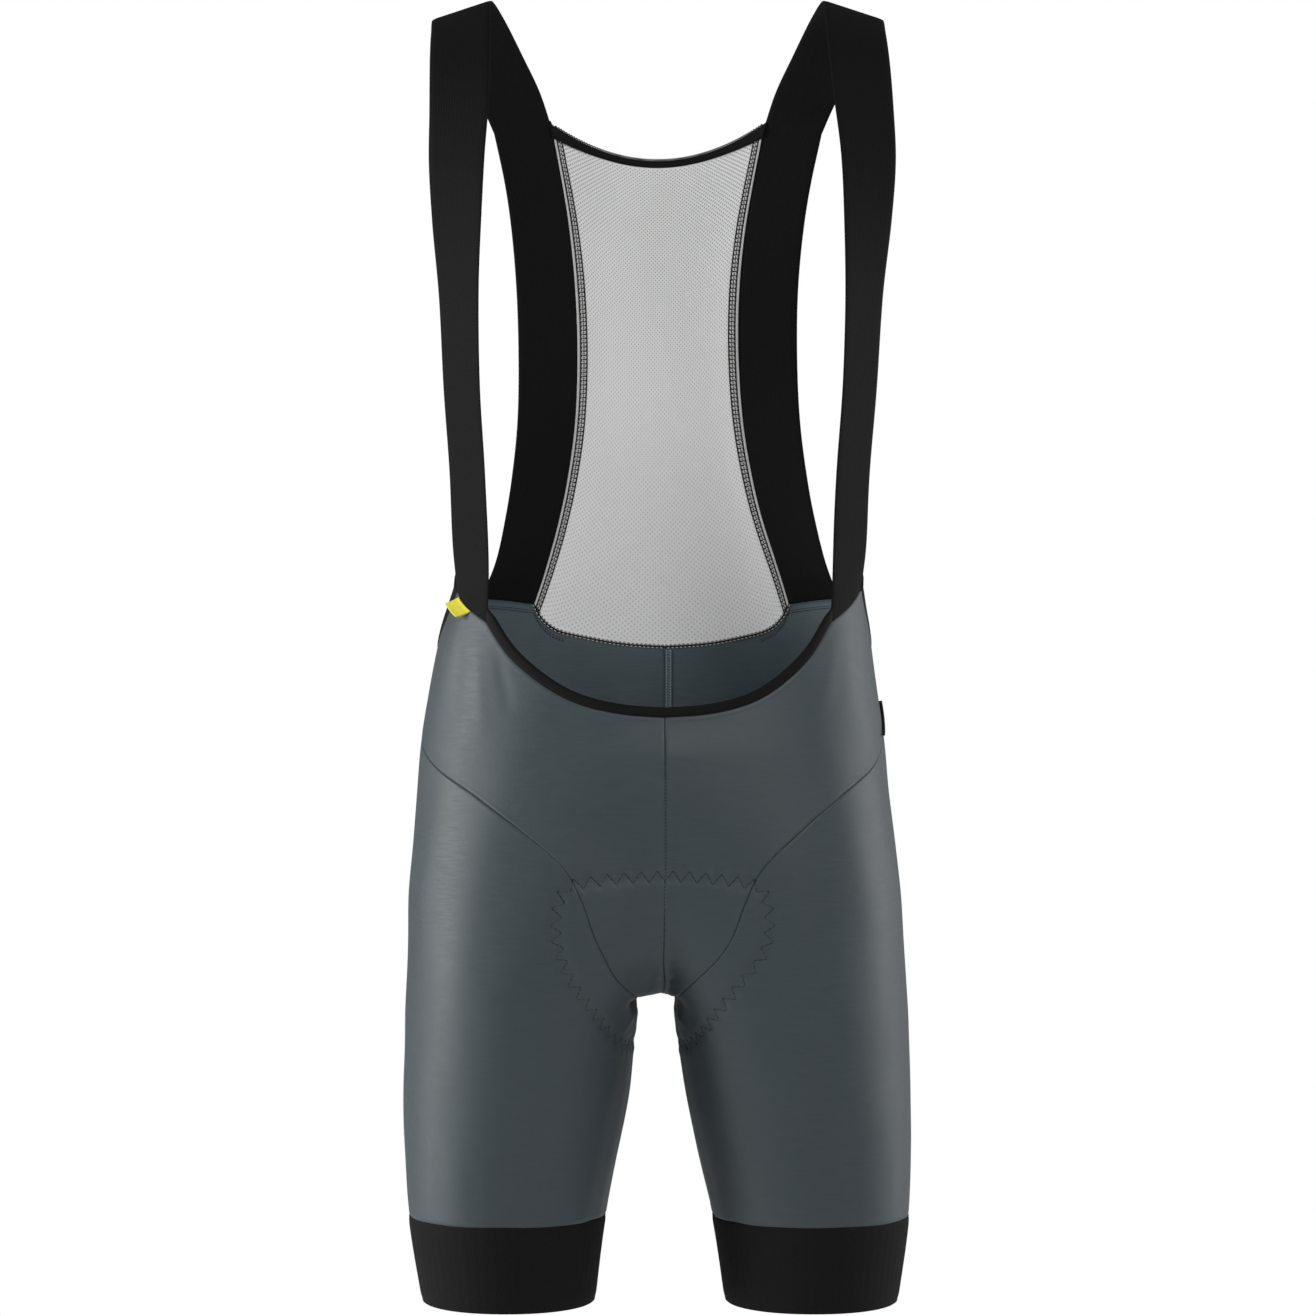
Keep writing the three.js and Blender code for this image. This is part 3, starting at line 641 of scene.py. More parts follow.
def gradient(p):
    slopes = [(figure(p + axis) - figure(p - axis)) / (2 * SLOPE_STEP) for axis in np.eye(3) * SLOPE_STEP]
    return np.stack(slopes, axis=-1)


def normal_at(p):
    return unit(gradient(p))


def on_figure(p, rounds=FIT_ROUNDS):
    """The points of the cloth's face near p."""
    q = np.array(p, float)
    for _ in range(rounds):
        g = gradient(q)
        q -= g * figure(q)[..., None] / dot(g, g)
    return q


def walk(start, direction, distance):
    """The points reached by walking a distance over the figure, from each start point."""
    steps = max(1, round(float(np.max(distance)) / WALK_STEP))
    p = np.array(start, float)
    heading = np.broadcast_to(np.asarray(direction, float), p.shape).copy()
    stride = np.broadcast_to(np.asarray(distance, float)[..., None] / steps, p.shape[:-1] + (1,))
    for _ in range(steps):
        n = normal_at(p)
        heading = unit(heading - dot(heading, n) * n)
        p = on_figure(p + heading * stride, NEAR_ROUNDS)
    return p


def placed(points):
    """Points of the level, even garment in the frame, where the worn one has them, in metres."""
    points = np.asarray(points, float)
    _, sides, middle, turn = np.moveaxis(table_at(SWAY, points[..., 2]), -1, 0)
    inwards = np.maximum(0, 1 - (points[..., 0] / SWAY_REACH) ** 2)
    x = points[..., 0] + sides + middle * inwards - turn * points[..., 1]
    across, up = points[..., 0] / TIP_REACH[0], (points[..., 2] - TIP_HEIGHT) / TIP_REACH[1]
    near_tip = np.exp(-(across**2) - up**2)
    x = x + TIP_SHIFT * near_tip * smooth((TIP_START - points[..., 1]) / TIP_GROWTH)
    return np.stack([x, points[..., 1], points[..., 2] - SHOULDER_HEIGHT], axis=-1) * MM


# Seams and grids of the right half


def seam(name, fineness):
    count = STEPS[name]
    dense = on_figure(curve_at(GUIDES[name], shares(SEAM_SAMPLES * count + MORE_SEAM_SAMPLES)))
    return on_figure(spread(dense, count * fineness))


def seams(fineness):
    """Every seam of the right half, with neighbours sharing their end points."""
    found = {name: seam(name, fineness) for name in STEPS}
    chain = ["neckline", "strapFoot", "frontArmhole", "backArmhole", "backStrapFoot", "scoop", "backRise"]
    for before, after in zip(chain, chain[1:]):
        found[after][0] = found[before][-1]
    found["sideSeam"][0] = found["backArmhole"][0]
    found["diagonal"][0] = found["sideSeam"][-1]
    rise = joined(found["frontRiseTop"], found["frontRiseMiddle"], found["frontRiseTip"])
    rise[0] = found["neckline"][0]
    rise[-1] = found["backRise"][-1]
    found["frontRise"] = rise
    return found


def fill_patch(top, bottom, left, right):
    """A grid with four edges: straight across, and bent like the top and the bottom edge near them."""
    u = shares(len(top) - 1)[None, :, None]
    v = shares(len(left) - 1)[:, None, None]
    grid = left[:, None] * (1 - u) + right[:, None] * u
    grid = grid + (top[None] - (top[0] * (1 - u) + top[-1] * u)) * (1 - v) ** 3
    return grid + (bottom[None] - (bottom[0] * (1 - u) + bottom[-1] * u)) * v**3


def evened(grid, closed):
    """Each inner point at the middle of its four neighbours. A closed grid's last column is its first."""
    found = grid.copy()
    if closed:
        ring = grid[:, :-1]
        sides = np.roll(ring, 1, axis=1) + np.roll(ring, -1, axis=1)
        found[1:-1, :-1] = (sides[1:-1] + ring[:-2] + ring[2:]) / 4
        found[1:-1, -1] = found[1:-1, 0]
    else:
        sides = grid[1:-1, :-2] + grid[1:-1, 2:]
        found[1:-1, 1:-1] = (sides + grid[:-2, 1:-1] + grid[2:, 1:-1]) / 4
    return found


def kept_edges(grid, edges, closed):
    grid[0], grid[-1] = edges[0], edges[-1]
    if not closed:
        grid[:, 0], grid[:, -1] = edges[:, 0], edges[:, -1]
    return grid


def relax(grid, closed):
    """Evens out a coarse grid on the figure, leaving its edges where they are."""
    now = kept_edges(on_figure(grid), grid, closed)
    for _ in range(RELAX_ROUNDS):
        now = kept_edges(on_figure(evened(now, closed), CLOSE_ROUNDS), grid, closed)
    return now


def between(grid, places, axis):
    """A grid read at fractional places along one of its axes."""
    i = np.minimum(places.astype(int), grid.shape[axis] - 2)
    t = np.expand_dims(places - i, tuple(range(1, grid.ndim - axis)))
    return np.take(grid, i, axis) * (1 - t) + np.take(grid, i + 1, axis) * t


def refined(coarse, fineness, edges, closed):
    """A finer grid with the coarse one's layout, whose edges are given, with more lines close to them."""
    rows, columns = coarse.shape[0] - 1, coarse.shape[1] - 1
    fine = between(coarse, shares(rows * fineness) * rows, 0)
    fine = between(fine, shares(columns * fineness) * columns, 1)
    fine = kept_edges(fine, edges, closed)
    for _ in range(FINE_RELAX_ROUNDS):
        fine = evened(fine, closed)
    fine = kept_edges(on_figure(fine, NEAR_ROUNDS), edges, closed)
    fine = between(fine, edge_places(rows * fineness), 0)
    if not closed:
        fine = between(fine, edge_places(columns * fineness), 1)
    return on_figure(fine, CLOSE_ROUNDS)


def edge_places(count):
    """Whole places from 0 to count, with a few more in the first and last step."""
    near = np.array(EDGE_SHARES)
    return np.concatenate([[0], near, np.arange(1, count), count - near[::-1], [count]])


def front_edges(lines):
    top = joined(lines["neckline"], lines["strapFoot"])
    right = joined(lines["frontArmhole"], lines["sideSeam"], lines["diagonal"])
    bottom = spread(np.array([lines["frontRise"][-1], right[-1]]), len(top) - 1)
    return top, bottom, lines["frontRise"], right


def front_panel(lines):
    """The front panel: from the front seam out to the side, from the neckline down to the crotch."""
    step = FRONT_FINENESS
    top, bottom, left, right = front_edges(lines)
    coarse = relax(fill_patch(top[::step], bottom[::step], left[::step], right[::step]), False)
    return refined(coarse, step, fill_patch(top, bottom, left, right), False)


def leg_ring(height, count):
    """A level ring round the leg, starting on its inner side and running by the front."""
    _, centre, _, _, front, *_ = table_at(SECTIONS, height)
    angle = RING_START + 2 * math.pi * shares(RING_SAMPLES)
    level = np.full(len(angle), height)
    ring = np.stack([centre + front * np.cos(angle), front * np.sin(angle), level], axis=1)
    ring = on_figure(spread(on_figure(ring), count))
    ring[:, 2] = height
    return ring


def leg_panel(lines):
    """The leg panel: a tube round the thigh that runs up the hip and the seat to the waist."""
    step = LEG_FINENESS
    tip = spread(np.array([lines["backRise"][-1], lines["diagonal"][-1]]), step)
    names = ["backArmhole", "backStrapFoot", "scoop", "backRise"]
    top = joined(tip, lines["diagonal"][::-1], lines["sideSeam"][::-1], *(lines[name] for name in names))
    rim = leg_ring(GRIPPER_HEIGHT, len(top) - 1)

    def rows(count, pick):
        down = (shares(count) ** LEG_CROWDING)[:, None, None]
        return top[None, ::pick] * (1 - down) + rim[None, ::pick] * down

    return refined(relax(rows(LEG_ROWS, step), True), step, rows(LEG_ROWS * step, 1), True)


def strap_edges(row):
    """The two edges of the strap at a row of its table."""
    x, y, height, turn, fall = row
    angle = math.radians(turn)
    reach = math.sqrt(STRAP_WIDTH**2 - fall**2)
    return (x, y, height), (x + reach * math.cos(angle), y + reach * math.sin(angle), height - fall)


def strap_run(ends, count, columns):
    inner, outer = (curve_at([pair[side] for pair in ends], shares(count)) for side in (0, 1))
    t = shares(columns)[None, :, None]
    return inner[:, None] * (1 - t) + outer[:, None] * t


def strap_grid(lines):
    """The strap: from its foot on the shorts' front, over the shoulder, to its foot on their back."""
    foot, back_foot = lines["strapFoot"], lines["backStrapFoot"][::-1]
    columns = len(foot) - 1
    front_rows, back_rows = FRONT_STRAP_ROWS * STRAP_FINENESS, BACK_STRAP_ROWS * STRAP_FINENESS
    front = [(foot[0], foot[-1])] + [strap_edges(row) for row in FRONT_RUN]
    back = [strap_edges(row) for row in BACK_RUN] + [(back_foot[0], back_foot[-1])]
    front_run = strap_run(front, front_rows, columns)
    back_run = strap_run(back, back_rows, columns)
    fade = np.maximum(0, 1 - np.arange(front_rows + 1) / STRAP_FINENESS)[:, None, None]
    front_run = front_run + (foot - front_run[0]) * fade
    fade = np.maximum(0, 1 - np.arange(back_rows, -1, -1) / STRAP_FINENESS)[:, None, None]
    back_run = back_run + (back_foot - back_run[-1]) * fade
    return np.concatenate([front_run, back_run[1:]])


def mesh_grid(strap, lines, columns, rows):
    """The mesh panel between the straps, from its top edge down to the scoop of the shorts' back."""
    right = spread(strap[FRONT_STRAP_ROWS * STRAP_FINENESS :, 0], rows)
    left = right * (-1, 1, 1)
    bottom = spread(both_sides(lines["scoop"][::-1]), columns)
    corner = right[0]
    out = 2 * shares(columns) - 1
    depth = MESH_TOP_DEPTH + (corner[1] - MESH_TOP_DEPTH) * out**2
    top = np.stack([corner[0] * out, depth, corner[2] - MESH_DIP * (1 - out**2)], axis=1)
    return fill_patch(top, bottom, left, right)


def grid_normals(grid):
    """Unit normals of a grid that leaves the figure. Rows run up the front and down the back."""
    across = np.gradient(grid, axis=1)
    onwards = np.gradient(grid, axis=0)
    return unit(np.cross(across, onwards))


def tangents(path):
    return unit(np.gradient(path, axis=0))


def strip_grid(edge, width, sideways, start_towards, end_towards, columns):
    """A strip beside an edge, whose ends lie along the edges that it runs into. Rows run along it."""
    outer = edge + sideways * width
    along = tangents(edge)

    def meet(p, target, tangent):
        direction = unit(target - p)
        sine = math.sqrt(1 - float(tangent @ direction) ** 2)
        return p + direction * width / sine

    outer[0] = meet(edge[0], start_towards, along[0])
    outer[-1] = meet(edge[-1], end_towards, along[-1])
    t = shares(columns)[None, :, None]
    return outer[:, None] * (1 - t) + edge[:, None] * t


def pad_middle(lines):
    """The line under the middle of the pad, from its front end to its back end."""
    front, back = lines["frontRise"], lines["backRise"][::-1]
    middle = np.vstack([front[front[:, 2] <= PAD_FRONT_HEIGHT], back[back[:, 2] <= PAD_BACK_HEIGHT][1:]])
    return on_figure(spread(middle, PAD_ROWS))


def pad_half_widths(inset=0.0):
    return table_at(PAD_HALF_WIDTHS, shares(PAD_ROWS))[:, 1] - inset


def pad_edge(middle, inset):
    """The pad's edge on the right half, drawn in by an inset, from its front end to its back end."""
    drop = max(1, round(inset / lengths_along(middle)[-1] * PAD_ROWS))
    middle, widths = middle[drop:-drop], pad_half_widths(inset)[drop:-drop]
    across = shares(PAD_EDGE_COLUMNS)
    front = walk(np.repeat(middle[:1], len(across), axis=0), (1, 0, 0), across * widths[0])
    front[:, 2] -= PAD_FRONT_BOW * across**2
    back = walk(np.repeat(middle[-1:], len(across), axis=0), (1, 0, 0), across * widths[-1])
    side = walk(middle, (1, 0, 0), widths)
    below = side[:, 2] < front[-1, 2] - 1
    start = int(np.argmax(below))
    return np.vstack([on_figure(front), side[start:-1], back[::-1]])


# Relief of the knit


def tree_of(points):
    tree = kdtree.KDTree(len(points))
    for i, point in enumerate(points):
        tree.insert(point, i)
    tree.balance()
    return tree


def nearest(points, tree):
    """Each point's distance to the nearest point of a tree, and that point's number."""
    found = [tree.find(p)[1:] for p in points.reshape(-1, 3)]
    number, distance = (np.array(values).reshape(points.shape[:-1]) for values in zip(*found))
    return distance, number


def dense_path(path):
    return spread(path, max(2, round(lengths_along(path)[-1] / PATH_SPACING)))


def bump_at(distance, width):
    return np.exp(-((distance / width) ** 2))


def swell(distance, facts):
    height, place, width = facts
    return height * bump_at(distance - place, width)


def bridge_draw(half):
    """How far the crotch's flat underside is drawn in, at points on the right half."""
    bumps = [bump_at(half[..., k] - BRIDGE_PLACE[k], BRIDGE_SIZE[k]) for k in range(3)]
    return BRIDGE_DRAW * np.prod(bumps, axis=0)


class Relief:
    """How far the worn knit stands off the figure: seams, creases, and what the pad's stitching draws in."""

    def __init__(self, lines):
        self.seams = tree_of(np.vstack([dense_path(path) for path in lines.values()]))
        self.middle = pad_middle(lines)
        self.edge = pad_edge(self.middle, ZIGZAG_INSET)
        self.widths = pad_half_widths(ZIGZAG_INSET)
        self.middle_tree = tree_of(self.middle)
        self.dense_edge = dense_path(self.edge)
        self.edge_tree = tree_of(self.dense_edge)
        self.corners = self.zigzag()
        share = np.linspace(0, len(self.corners) - 1, ZIGZAG_STEPS * (len(self.corners) - 1) + 1)
        self.holes = on_figure(between(self.corners, share, 0), CLOSE_ROUNDS)
        self.hole_tree = tree_of(self.holes)

    def zigzag(self):
        """The corners of the zigzag on the right half, from the front of the pad to its back."""
        path = at_steps(self.edge, ZIGZAG_PITCH / 2)
        side = unit(np.cross(tangents(path), normal_at(path)))
        turn = np.where(np.arange(len(path)) % 2 == 0, 1, -1)[:, None]
        return on_figure(path + side * turn * ZIGZAG_SWING, NEAR_ROUNDS)

    def is_over_pad(self, half):
        distance, number = nearest(half, self.middle_tree)
        is_between = (number > PAD_END_ROWS) & (number < PAD_ROWS - PAD_END_ROWS)
        return is_between & (distance < self.widths[number])

    def shared(self, half):
        """The relief that is alike on both sides, and the distance to the nearest seam."""
        seam_distance, _ = nearest(half, self.seams)
        edge_distance, edge_number = nearest(half, self.edge_tree)
        over_pad = self.is_over_pad(half)
        hole_distance, _ = nearest(half, self.hole_tree)
        rise = swell(seam_distance, GROOVE) + swell(seam_distance, RIDGE)
        rise += PAD_PUSH * smooth(edge_distance / PAD_PUSH_WIDTH) * over_pad
        beat = np.cos(2 * math.pi * edge_number * PATH_SPACING / ZIGZAG_PITCH)
        fan = np.exp(PUCKER_SHARPNESS * (beat - 1)) * ~over_pad
        rise += swell(edge_distance, PUCKER) * fan + swell(edge_distance, TROUGH) + swell(hole_distance, DENT)
        rise += swell(half[..., 2] - GRIPPER_HEIGHT, HEM_TUCK)
        rise -= bridge_draw(half)
        foot, full_foot, full_top, top = KEEL_ENDS
        height = half[..., 2]
        ends = smooth((height - foot) / (full_foot - foot)) * smooth((top - height) / (top - full_top))
        is_front = half[..., 1] < 0
        rise += KEEL_HEIGHT * np.exp(-np.abs(half[..., 0]) / KEEL_WIDTH) * ends * is_front
        return rise, seam_distance

    def creases(self, points):
        """The creases and the slow unevenness, at points with their true side."""
        height = np.zeros(points.shape[:-1])
        share = shares(CREASE_SAMPLES)[:, None]
        for start, end, width, rise in CREASES:
            path = on_figure(np.array(start) * (1 - share) + np.array(end) * share)
            low, high = path.min(0) - CREASE_REACH * width, path.max(0) + CREASE_REACH * width
            near = ((points > low) & (points < high)).all(-1)
            if near.any():
                apart = np.linalg.norm(points[near][:, None] - path, axis=2)
                taper = np.sin(math.pi * apart.argmin(1) / CREASE_SAMPLES)
                height[near] += rise * taper * bump_at(apart.min(1), width)
        around = WAVE_RADIUS * np.arctan2(points[..., 1], np.abs(points[..., 0]) - WAVE_CENTRE)
        around += WAVE_SIDE_SHIFT * np.sign(points[..., 0])
        for rise, across, up, start in WAVES:
            height += rise * np.sin(2 * math.pi * (around / across + points[..., 2] / up) + start)
        return height

    def lift_of(self, half, side):
        """Points on the figure's right half moved out by the relief of one side."""
        rise = self.shared(half)[0] + self.creases(half * (side, 1, 1))
        return half + normal_at(half) * rise[..., None]


# Meshes


def quads_of(index):
    """The quads between the neighbours of a grid of point numbers."""
    return np.stack([index[:-1, :-1], index[1:, :-1], index[1:, 1:], index[:-1, 1:]], axis=-1).reshape(-1, 4)


def rim_loops(index, closed):
    """The loops of point numbers round a grid's open edges, each with its first point again at its end."""
    if closed:
        return [index[0], index[-1][::-1]]
    return [np.concatenate([index[0], index[1:, -1], index[-1, -2::-1], index[-2::-1, 0]])]


def off_edges(grid, closed):
    """Unit vectors that point off a grid at its edges."""
    off = np.zeros_like(grid)
    off[0] += unit(grid[0] - grid[1])
    off[-1] += unit(grid[-1] - grid[-2])
    if not closed:
        off[:, 0] += unit(grid[:, 0] - grid[:, 1])
        off[:, -1] += unit(grid[:, -1] - grid[:, -2])
    return unit(off)


def wall(outer, inner, closed, bulge):
    """A closed wall between two grids, whose rims bulge by a share of its thickness: its points, its quads,
    and the grid point that each of its points belongs to."""
    if closed:
        outer, inner = outer[:, :-1], inner[:, :-1]
    rows, columns = outer.shape[:2]
    count = rows * columns
    index = np.arange(count).reshape(rows, columns)
    ring = np.hstack([index, index[:, :1]]) if closed else index
    thick = np.linalg.norm(outer - inner, axis=2, keepdims=True)
    middle = ((outer + inner) / 2 + off_edges(outer, closed) * thick * bulge).reshape(-1, 3)
    points = [outer.reshape(-1, 3), inner.reshape(-1, 3)]
    source = [index.ravel(), index.ravel()]
    faces = [quads_of(ring), quads_of(ring)[:, ::-1] + count]
    used = 2 * count
    for loop in rim_loops(ring, closed):
        near, onwards = loop[:-1], loop[1:]
        here = used + np.arange(len(near))
        there = np.roll(here, -1)
        points.append(middle[near])
        source.append(near)
        faces.append(np.stack([near, onwards, there, here], axis=1))
        faces.append(np.stack([here, there, onwards + count, near + count], axis=1))
        used += len(near)
    return np.vstack(points), np.vstack(faces), np.concatenate(source)


def add_piece(name, points, faces, material, slot=None, replaces=(), cloth=None, reverse=None):
    """A mesh object that rides on the part. cloth gives each point's place in the cloth, and reverse how far
    it lies on the cloth's reverse side, which the knit draws lighter as painted light."""
    mesh = bpy.data.meshes.new(name)
    mesh.from_pydata(placed(points).tolist(), [], faces)
    mesh.polygons.foreach_set("use_smooth", np.ones(len(mesh.polygons), bool))
    if cloth is not None:
        made = mesh.attributes.new("cloth", "FLOAT_VECTOR", "POINT")
        made.data.foreach_set("vector", cloth.astype(np.float32).ravel())
        made = mesh.attributes.new("reverse", "FLOAT", "POINT")
        made.data.foreach_set("value", reverse.astype(np.float32))
    mesh.materials.append(material)
    mesh.update()
    piece = bpy.data.objects.new(name, mesh)
    bpy.context.scene.collection.objects.link(piece)
    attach(piece, "root")
    if replaces:
        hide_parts(*replaces)
    return piece


def cloth_places(grid, extra):
    """Each grid point's distance along its row and down its column, with one more value."""
    across = np.linalg.norm(np.diff(grid, axis=1), axis=2)
    down = np.linalg.norm(np.diff(grid, axis=0), axis=2)
    u = np.hstack([np.zeros((grid.shape[0], 1)), np.cumsum(across, axis=1)])
    v = np.vstack([np.zeros((1, grid.shape[1])), np.cumsum(down, axis=0)])
    return np.stack([u, v, np.broadcast_to(extra, u.shape)], axis=-1)


def add_wall(name, outer, inner, material, extra=0.0, closed=False, bulge=0.25, places=None, **options):
    """A wall of cloth as a piece. extra is a value that its material reads at each grid point, and places
    are the points' own places in the cloth, where they aren't millimetres along its rows and columns."""
    if places is None:
        places = cloth_places(outer, extra)
    if closed:
        places = places[:, :-1]
    points, faces, source = wall(outer, inner, closed, bulge)
    a, b, c, d = (points[faces[:, k]] for k in range(4))
    volume = (a * np.cross(b, c)).sum() + (a * np.cross(c, d)).sum()
    if volume < 0:
        faces = faces[:, ::-1]
    cloth = places.reshape(-1, 3)[source]
    # The inner face is marked as the reverse side, and the rims half so. The knit's material paints light
    # there.
    reverse = np.zeros(len(points))
    count = outer[..., 0].size - (len(outer) if closed else 0)
    reverse[count : 2 * count] = 1
    reverse[2 * count :] = 0.5
    return add_piece(name, points, faces.tolist(), material, cloth=cloth, reverse=reverse, **options)


def threads(paths, normals, radius):
    """Round threads along paths that all have the same number of points, with pointed ends: their points,
    quads and triangles."""
    along = unit(np.gradient(paths, axis=1))
    side = unit(np.cross(along, normals))
    up = np.cross(side, along)
    angle = 2 * math.pi * np.arange(THREAD_SIDES) / THREAD_SIDES
    circle = side[:, :, None] * np.cos(angle)[:, None] + up[:, :, None] * np.sin(angle)[:, None]
    rings = paths[:, :, None] + circle * radius
    count, steps = paths.shape[:2]
    tips = np.stack([paths[:, 0] - along[:, 0] * radius, paths[:, -1] + along[:, -1] * radius], axis=1)
    points = np.concatenate([rings.reshape(count, -1, 3), tips], axis=1)
    index = np.arange(steps * THREAD_SIDES).reshape(steps, THREAD_SIDES)
    index = np.hstack([index, index[:, :1]])
    start, end = np.full(THREAD_SIDES, index[-1, -2] + 1), np.full(THREAD_SIDES, index[-1, -2] + 2)
    caps = np.vstack([
        np.stack([start, index[0, 1:], index[0, :-1]], axis=1),
        np.stack([end, index[-1, :-1], index[-1, 1:]], axis=1),
    ])
    base = (np.arange(count) * points.shape[1])[:, None, None]
    return points.reshape(-1, 3), (quads_of(index) + base).reshape(-1, 4), (caps + base).reshape(-1, 3)


def add_threads(name, groups, material):
    """One piece of many threads, from groups of paths, normals and a radius."""
    points, faces, used = [], [], 0
    for paths, normals, radius in groups:
        made, quads, caps = threads(paths, np.broadcast_to(normals, paths.shape), radius)
        points.append(made)
        faces += (quads + used).tolist() + (caps + used).tolist()
        used += len(made)
    return add_piece(name, np.vstack(points), faces, material)


def stitches(starts, ends, normals, lift, bite):
    """Paths of single stitches, whose ends bite into the cloth and whose middles lie on it."""
    share = np.array(STITCH_PLACES)[None, :, None]
    height = np.array([-bite, *(lift * rise for rise in STITCH_RISES), -bite])[None, :, None]
    paths = starts[:, None] * (1 - share) + ends[:, None] * share
    return paths + normals[:, None] * height


def at_steps(path, pitch):
    """Points every pitch along a path."""
    far = lengths_along(path)
    wanted = np.arange(0.0, far[-1], pitch)
    return np.stack([np.interp(wanted, far, path[:, k]) for k in range(3)], axis=1)


# Materials


def put(tree, socket, value):
    """Sets a socket to a value, or links another socket to it."""
    if isinstance(value, bpy.types.NodeSocket):
        tree.links.new(value, socket)
    else:
        socket.default_value = value


def node(tree, kind, settings=None, **inputs):
    """A shader node whose inputs are set or linked by name, with _ for a space, or as input_0 and so on."""
    made = tree.nodes.new("ShaderNode" + kind)
    for name, value in (settings or {}).items():
        setattr(made, name, value)
    for name, value in inputs.items():
        key = int(name[6:]) if name.startswith("input_") else name.replace("_", " ")
        put(tree, made.inputs[key], value)
    return made


def maths(tree, operation, *values):
    inputs = {f"input_{i}": value for i, value in enumerate(values)}
    return node(tree, "Math", {"operation": operation}, **inputs).outputs[0]


def product(tree, first, *others):
    for value in others:
        first = maths(tree, "MULTIPLY", first, value)
    return first


def weighted(tree, first, *others):
    """The sum of some sockets times their weights, from pairs of the two."""
    total = product(tree, *first)
    for value, weight in others:
        total = maths(tree, "MULTIPLY_ADD", value, weight, total)
    return total


def ranged(tree, value, given, wanted=(0.0, 1.0)):
    """A value moved from one range to another, and kept inside it."""
    (low, high), (to_low, to_high) = given, wanted
    inputs = {"Value": value, "From_Min": low, "From_Max": high, "To_Min": to_low, "To_Max": to_high}
    return node(tree, "MapRange", **inputs).outputs[0]


def mixed(tree, share, first, second):
    """A colour at a share of the way from one to another."""
    made = tree.nodes.new("ShaderNodeMix")
    made.data_type = "RGBA"
    for key, value in (("Factor_Float", share), ("A_Color", first), ("B_Color", second)):
        put(tree, next(s for s in made.inputs if s.identifier == key), value)
    return next(s for s in made.outputs if s.identifier == "Result_Color")


def tinted(color, times):
    """A colour made darker or lighter, with its alpha."""
    return tuple(min(1, times * c) for c in color) + (1,)


def between_tints(tree, share, color, tints):
    return mixed(tree, share, *(tinted(color, times) for times in tints))


def new_material(name):
    material = bpy.data.materials.new(name)
    material.use_nodes = True
    material.node_tree.nodes.clear()
    return material, material.node_tree


def finish_material(tree, color, height, depth, gloss=0.3, **surface):
    """Ends a cloth material: its shader, with a bump of the given depth in metres."""
    bump = node(tree, "Bump", Height=height, Distance=depth, Strength=1.0)
    own = {"Base_Color": color, "Normal": bump.outputs[0], "Specular_IOR_Level": gloss}
    shader = node(tree, "BsdfPrincipled", **own, **surface)
    node(tree, "OutputMaterial", Surface=shader.outputs[0])


def cloth_coordinates(tree):
    """Sockets of the places across and down the cloth, in millimetres, and of its extra value."""
    places = node(tree, "Attribute", {"attribute_name": "cloth"})
    return node(tree, "SeparateXYZ", Vector=places.outputs["Vector"]).outputs


def ripple(tree, place, pitch):
    """A wave from 0 to 1 with the given pitch along a place in millimetres."""
    wave = maths(tree, "SINE", product(tree, place, 2 * math.pi / pitch))
    return maths(tree, "MULTIPLY_ADD", wave, 0.5, 0.5)


def noise(tree, scale, stretch=(1, 1, 1), detail=2.0, roughness=0.5):
    """Noise in object space, with its scale in repeats a metre along each stretched axis."""
    place = node(tree, "TexCoord").outputs["Object"]
    place = node(tree, "Mapping", Vector=place, Scale=tuple(scale * s for s in stretch)).outputs[0]
    made = node(tree, "TexNoise", Vector=place, Scale=1.0, Detail=detail, Roughness=roughness)
    return made.outputs[0]


def knit_material():
    """Slate grey warp knit with a satin sheen, fine wales and courses, painted shade in the seams' grooves,
    and painted light on its reverse face.
    """
    material, tree = new_material("body_knit")
    u, v, from_seam = cloth_coordinates(tree)
    wales, courses = ripple(tree, u, WALE_PITCH), ripple(tree, v, COURSE_PITCH)
    streaks = noise(tree, scale=300, stretch=(0.25, 0.25, 2.2), detail=3.0, roughness=0.6)
    blotches = noise(tree, scale=14, stretch=(1, 1, 0.5))
    reverse = node(tree, "Attribute", {"attribute_name": "reverse"}).outputs["Fac"]
    shade = product(
        tree,
        ranged(tree, streaks, NOISE_RANGE, STREAK_SHADE),
        ranged(tree, blotches, NOISE_RANGE, BLOTCH_SHADE),
        # Painted shade darkens the knit in the seams' grooves.
        ranged(tree, from_seam, SEAM_REACH, SEAM_PAINTED_SHADE),
        # Painted light makes the knit's reverse face lighter.
        ranged(tree, reverse, (0.0, 1.0), (1.0, REVERSE_PAINTED_LIGHT)),
        1 / SHADE_ROOM,
    )
    color = between_tints(tree, shade, KNIT_COLOR, (0, SHADE_ROOM))
    height = weighted(tree, (courses, 0.4), (wales, 0.6), (streaks, 1.2))
    roughness = ranged(tree, streaks, NOISE_RANGE, KNIT_ROUGHNESS)
    sheen = {"Sheen_Weight": 0.1, "Sheen_Roughness": 0.35}
    finish_material(tree, color, height, KNIT_BUMP, gloss=0.4, Roughness=roughness, **sheen)
    return material


def elastic_material(name, color, rib_pitch, cross_pitch, depth):
    """Matt black elastic with ribs along it and a finer weave across."""
    material, tree = new_material(name)
    u, v, _ = cloth_coordinates(tree)
    ribs, picks = ripple(tree, u, rib_pitch), ripple(tree, v, cross_pitch)
    fuzz = noise(tree, scale=900, roughness=0.6)
    shade = maths(tree, "MULTIPLY_ADD", ribs, RIB_SHADE, ranged(tree, fuzz, NOISE_RANGE, ELASTIC_SHADE))
    tint = between_tints(tree, shade, color, ELASTIC_TINTS)
    height = weighted(tree, (picks, 0.3), (ribs, 0.7), (fuzz, 0.5))
    finish_material(tree, tint, height, depth, gloss=0.12, Roughness=0.85)
    return material


